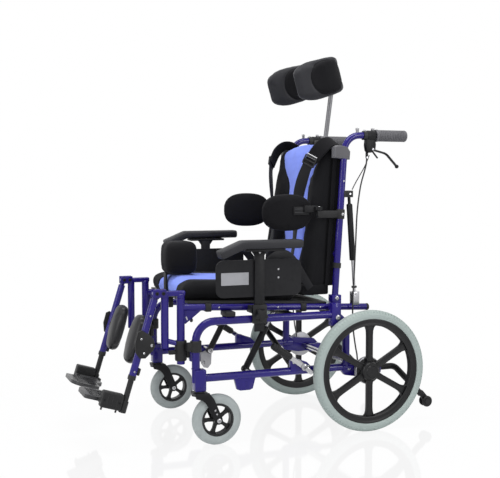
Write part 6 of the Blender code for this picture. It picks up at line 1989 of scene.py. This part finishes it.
# %% Seams and cover of the headrest
def head_spot(point):
    """Distance along the bend, height, and distance outward, of a point on the pad."""
    upright = HEAD_UPRIGHT @ point
    size, back = abs(upright.x), upright.y - HEAD_BACK
    if back < -HEAD_CORNER:
        along, outward = HEAD_FLAT + HEAD_ARC - HEAD_CORNER - back, size - HEAD_HALF_WIDTH
    elif size < HEAD_FLAT:
        along, outward = size, back
    else:
        along = HEAD_FLAT + HEAD_CORNER * atan2(size - HEAD_FLAT, back + HEAD_CORNER)
        outward = Vector((size - HEAD_FLAT, back + HEAD_CORNER)).length - HEAD_CORNER
    return along, upright.z - HEAD_HEIGHT, outward


def head_oval(point):
    """Distance from the sewn oval of the lobe, negative inside it."""
    along, height = head_spot(point)[:2]
    share = Vector(((along - OVAL_ALONG) / OVAL_HALF_LONG, height / OVAL_HALF_HIGH)).length
    return (share - 1.0) * OVAL_SCALE


head_bm = padded_block((HEAD_HALF_LENGTH - 0.003, 0.0155, 0.068), 0.0145, 0.02, head_shape)
head_bm = puffed(head_bm, 0.005, 0.0045)
creased(head_bm, lambda point: groove(abs(head_oval(point)), 0.006, 0.003)
        + groove(abs(head_spot(point)[2] + 0.002), 0.0035, 0.0012))
# The grey of the band is painted highlight; the black felt on the oval and the middle is the pad's own
# colour.
headrest = padded_piece("headrest_cover", head_bm, painted_highlight_band, "headrest_pad",
                        ["headrest_pad"])
two_colours(headrest, black_felt, lambda point: min(head_oval(point), head_spot(point)[0] - 0.08))

# %% [markdown]
# ## Side supports, calf pads and knee divider
#
# These pads are smaller, so a finer remesh and a smaller swell are enough. The side supports are
# rounded ovals with a piped rim. The calf pads are smooth black foam on a side arm, and the knee
# divider is a fat upright cushion that slides on a flat stem into the socket under the seat.

# %% Side supports
SIDE_PAD = Vector((0.182, -0.252, 0.718))
SIDE_HALF_LONG = 0.087
SIDE_HALF_HIGH = 0.0595


def dome(first, second):
    """1 in the middle of a pad and 0 at its edges; both are shares of its half sizes."""
    return (1 - min(1.0, abs(first)) ** 2) * (1 - min(1.0, abs(second)) ** 2)


def oval(point, half_long, half_high, power):
    """Pull the corners of a rectangle in until its outline is an oval."""
    reach = (abs(point.y / half_long) ** power + abs(point.z / half_high) ** power) ** (1 / power)
    most = max(abs(point.y / half_long), abs(point.z / half_high), 1e-6)
    return most / max(reach, 1e-6)


def side_pad():
    def shape(point):
        draw = oval(point, SIDE_HALF_LONG, SIDE_HALF_HIGH, 2.6)
        swell = dome(point.y / SIDE_HALF_LONG, point.z / SIDE_HALF_HIGH)
        x = point.x - (0.004 * swell if point.x < 0 else 0.0)
        return SIDE_PAD + Vector((x, point.y * draw, point.z * draw))

    bm = padded_block((0.0105, SIDE_HALF_LONG, SIDE_HALF_HIGH), 0.008, 0.016, shape)
    bm = puffed(bm, 0.004, 0.0028)
    creased(bm, lambda point: groove(abs(point.x - SIDE_PAD.x - 0.0035), 0.003, 0.0014))
    for vert in bm.verts:
        vert.co.x = min(vert.co.x, SIDE_PAD.x + 0.0122)
    return bm


for pad in add_pair("side_support_cover", side_pad, black_felt, "lateral_support",
                    ["lateral_support"]):
    pad.data.set_sharp_from_angle(angle=pi)

# %% Calf pads
CALF_HALF_WIDTH = 0.046
CALF_HALF_DEPTH = 0.019
CALF_HALF_HIGH = 0.0785


def calf_pad():
    lean = Matrix.Rotation(-radians(17.0), 4, "X")
    place = Matrix.Translation(leg_point(CALF_DOWN, -0.003, 0.125)) @ lean

    def shape(point):
        swell = dome(point.x / CALF_HALF_WIDTH, point.z / 0.078)
        drawn = 1.0 - 0.05 * (point.y / CALF_HALF_DEPTH) ** 2
        drawn *= oval(Vector((0.0, point.x, point.z)), CALF_HALF_WIDTH, CALF_HALF_HIGH, 2.8)
        y = point.y - (0.005 * swell if point.y < 0 else 0.0)
        return place @ Vector((point.x * drawn, y, point.z * drawn))

    bm = padded_block((CALF_HALF_WIDTH, 0.017, CALF_HALF_HIGH), 0.0135, 0.018, shape)
    bm = puffed(bm, 0.0042, 0.0022)
    back = place.inverted()
    creased(bm, lambda point: groove(abs((back @ point).y - 0.006), 0.003, 0.0012))
    return bm


for pad in add_pair("calf_pad_skin", calf_pad, calf_skin, "calf_pad", ["calf_pad"]):
    pad.data.set_sharp_from_angle(angle=pi)


# %% Arms of the calf pads
def calf_arm():
    spot = leg_point(CALF_DOWN)
    eye = turned([(0, 0.0052), (0, 0.009), (0.001, 0.01), (0.01, 0.01), (0.011, 0.009), (0.011, 0.0052)],
                 (SEAT_X - 0.03, spot.y, spot.z), (1, 0, 0), 28, closed=True)
    return joined(eye, leg_block((0.15, SEAT_X - 0.026), about(CALF_DOWN, 0.008), (-0.0075, 0.0055), 0.002))


add_pair("calf_pad_arm", calf_arm, black_coat, "calf_pad")

# %% Knee divider
DIVIDER = Vector((0.0, -0.563, 0.568))


def divider_shape(point):
    waist = 1.0 - 0.06 * (point.z / 0.0545) ** 2
    return DIVIDER + Vector((point.x * waist, point.y * waist, point.z))


divider_bm = puffed(padded_block((0.05, 0.054, 0.054), 0.023, 0.022, divider_shape), 0.0045, 0.004)
creased(divider_bm, lambda point: groove(abs(point.x), 0.0035, 0.0016)
        + groove(abs(point.z - DIVIDER.z + 0.03), 0.003, 0.001))
padded_piece("knee_divider_cover", divider_bm, black_felt, "pommel", ["pommel"])


def divider_stem():
    stem = block((-0.0125, 0.0125), (-0.612, -0.606), (0.385, 0.519), 0.0012)
    ledge = block((-0.015, 0.015), (-0.61, -0.57), (0.513, 0.517), 0.0012)
    return joined(stem, ledge)


add_piece("knee_divider_stem", divider_stem(), black_coat, "pommel")

# %% [markdown]
# ## The harness
#
# Harness webbing is flat and would not survive a remesh, so it is swept directly. Each strap is
# given by stations: a place, the direction that its face looks in there, and its width. A smooth
# curve is drawn through the stations, so the strap can twist as it comes over the shoulder.


# %% Helpers for straps
def eased(rows, steps=6):
    """More rows of numbers on a smooth curve through the given ones."""
    values = [rows[0], *rows, rows[-1]]
    result = []
    for first, second, third, fourth in zip(values, values[1:], values[2:], values[3:]):
        for step in range(steps):
            t = step / steps
            result.append([0.5 * (2 * b + (c - a) * t + (2 * a - 5 * b + 4 * c - d) * t * t
                                  + (3 * b - a - 3 * c + d) * t * t * t)
                           for a, b, c, d in zip(first, second, third, fourth)])
    return result + [rows[-1]]


def strap(stations, thickness):
    """Flat strap through stations of (place, direction that its face looks in, width)."""
    rows = eased([(*place, *facing, width) for place, facing, width in stations])
    places = [Vector(row[:3]) for row in rows]
    frames = []
    for number, row in enumerate(rows):
        along = (places[min(number + 1, len(rows) - 1)] - places[max(number - 1, 0)]).normalized()
        across = along.cross(Vector(row[3:6])).normalized()
        turn = Matrix((across * row[6], along.cross(across) * thickness, along)).transposed().to_4x4()
        frames.append(Matrix.Translation(places[number]) @ turn)
    bm = bmesh.new()
    corners = [(-0.5, -0.2), (-0.45, -0.5), (0.45, -0.5), (0.5, -0.2), (0.5, 0.2), (0.45, 0.5),
               (-0.45, 0.5), (-0.5, 0.2)]
    ring = [bm.verts.new(frames[0] @ Vector((x, y, 0.0))) for x, y in corners]
    edges = [bm.edges.new(pair) for pair in zip(ring, ring[1:] + ring[:1])]
    bmesh.ops.edgeloop_fill(bm, edges=edges)
    for before, after in zip(frames, frames[1:]):
        edges = next_ring(bm, edges, after @ before.inverted())
    bmesh.ops.edgeloop_fill(bm, edges=edges)
    bmesh.ops.recalc_face_normals(bm, faces=bm.faces)
    return bm


# %% Straps
SHOULDER = [
    ((0.15, -0.052, 0.88), (0.2, 1.0, 0.0), 0.044), ((0.16, -0.058, 0.925), (0.3, 0.9, 0.4), 0.046),
    ((0.176, -0.08, 0.948), (0.5, 0.2, 0.9), 0.05), ((0.184, -0.108, 0.946), (0.7, -0.3, 0.7), 0.052),
    ((0.181, -0.133, 0.926), (0.8, -0.5, 0.35), 0.05), ((0.171, -0.15, 0.902), (0.8, -0.6, 0.15), 0.046),
    ((0.16, -0.162, 0.88), (0.75, -0.65, 0.1), 0.04)]
CHEST = [((0.163, -0.163, 0.888), (0.75, -0.65, 0.1), 0.034),
         ((0.15, -0.171, 0.858), (0.72, -0.69, 0.05), 0.036),
         ((0.134, -0.177, 0.822), (0.7, -0.71, 0.0), 0.04),
         ((0.118, -0.181, 0.78), (0.64, -0.76, 0.0), 0.04),
         ((0.104, -0.183, 0.72), (0.4, -0.9, 0.0), 0.036), ((0.096, -0.184, 0.66), (0.1, -1.0, 0.0), 0.03),
         ((0.098, -0.19, 0.61), (0.0, -1.0, 0.0), 0.028), ((0.112, -0.205, 0.56), (0.0, -1.0, 0.1), 0.027)]

add_pair("shoulder_strap", lambda: strap(SHOULDER, 0.0075), black_felt, "back")
add_pair("chest_webbing", lambda: strap(CHEST, 0.0024), webbing, "back")

# %% Buckles and stitches of the straps
STRAP_WAY = Vector((-0.38, -0.27, -0.88)).normalized()
STRAP_ACROSS = STRAP_WAY.cross(Vector((0.75, -0.65, 0.1))).normalized()


def strap_bars(middle, steps, reach, radius):
    """Round bars across the strap at distances along it."""
    spots = [Vector(middle) + STRAP_WAY * along for along in steps]
    return [rod(spot - STRAP_ACROSS * reach, spot + STRAP_ACROSS * reach, radius, 0.0005, 12)
            for spot in spots]


def strap_buckle():
    """Ladder buckle between the shoulder pad and the webbing."""
    middle = Vector((0.164, -0.164, 0.886))
    starts = [middle - STRAP_WAY * 0.015 + STRAP_ACROSS * side for side in (-0.02, 0.02)]
    rails = [rod(start, start + STRAP_WAY * 0.03, 0.0026) for start in starts]
    return joined(*strap_bars(middle, (-0.014, 0.0, 0.014), 0.021, 0.0026), *rails)


add_pair("strap_buckle", strap_buckle, black_plastic, "back")


def strap_stitching():
    return joined(*strap_bars((0.17, -0.159, 0.9), (-0.004, 0.004), 0.019, 0.0015))


add_pair("strap_stitching", strap_stitching, white_thread, "back")

# %% Lap belt
LAP_BELT = [((0.1985, -0.175, 0.47), (1.0, 0.0, 0.0), 0.026),
            ((0.206, -0.205, 0.51), (1.0, 0.0, 0.0), 0.028), ((0.212, -0.24, 0.56), (1.0, 0.0, 0.0), 0.028),
            ((0.21, -0.268, 0.585), (0.9, 0.0, 0.3), 0.028), ((0.202, -0.3, 0.58), (0.8, 0.0, 0.5), 0.028),
            ((0.196, -0.325, 0.555), (0.9, 0.0, 0.2), 0.028)]
add_pair("lap_belt", lambda: strap(LAP_BELT, 0.0024), webbing, "seat")


# %% Flanges of the back cover
def back_flange():
    """Side of the cover that runs from the cushion to the cane, with the piping on its edge."""
    low, high = 0.476, 0.905
    outline = [(cane_y(low) - 0.03, low), (cane_y(low) + 0.009, low), (cane_y(high) + 0.009, high),
               (cane_y(high) - 0.03, high)]
    sheet = plate(outline, 0.1932, 0.195, 0.0004, 1)
    piping = tube([(0.1944, cane_y(low) - 0.0175, low), (0.1944, cane_y(high) - 0.0175, high)], 0.0022,
                  sides=10)
    return joined(sheet, piping)


add_pair("back_cover_flange", back_flange, black_felt, "back")

# %% [markdown]
# ## Cables
#
# The brake cables keep the solids of the model, because their length changes with the back, and
# only get their black cover. A thin release cable runs from each lever to its recline spring.

# %% Cables
for side in ("L", "R"):
    cable = frame["nodes"]["brake_cable_" + side]
    cable.data.materials.clear()
    cable.data.materials.append(cable_cover)


# %% Release cables
def release_cable():
    route = [(SEAT_X + 0.002, 0.03, 0.905), (SEAT_X + 0.006, 0.01, 0.866), (SEAT_X + 0.008, -0.02, 0.82),
             (SEAT_X + 0.008, -0.036, 0.792)]
    return tube(eased(route, 4), 0.0017, sides=10)


add_pair("release_cable", release_cable, cable_cover, "back")
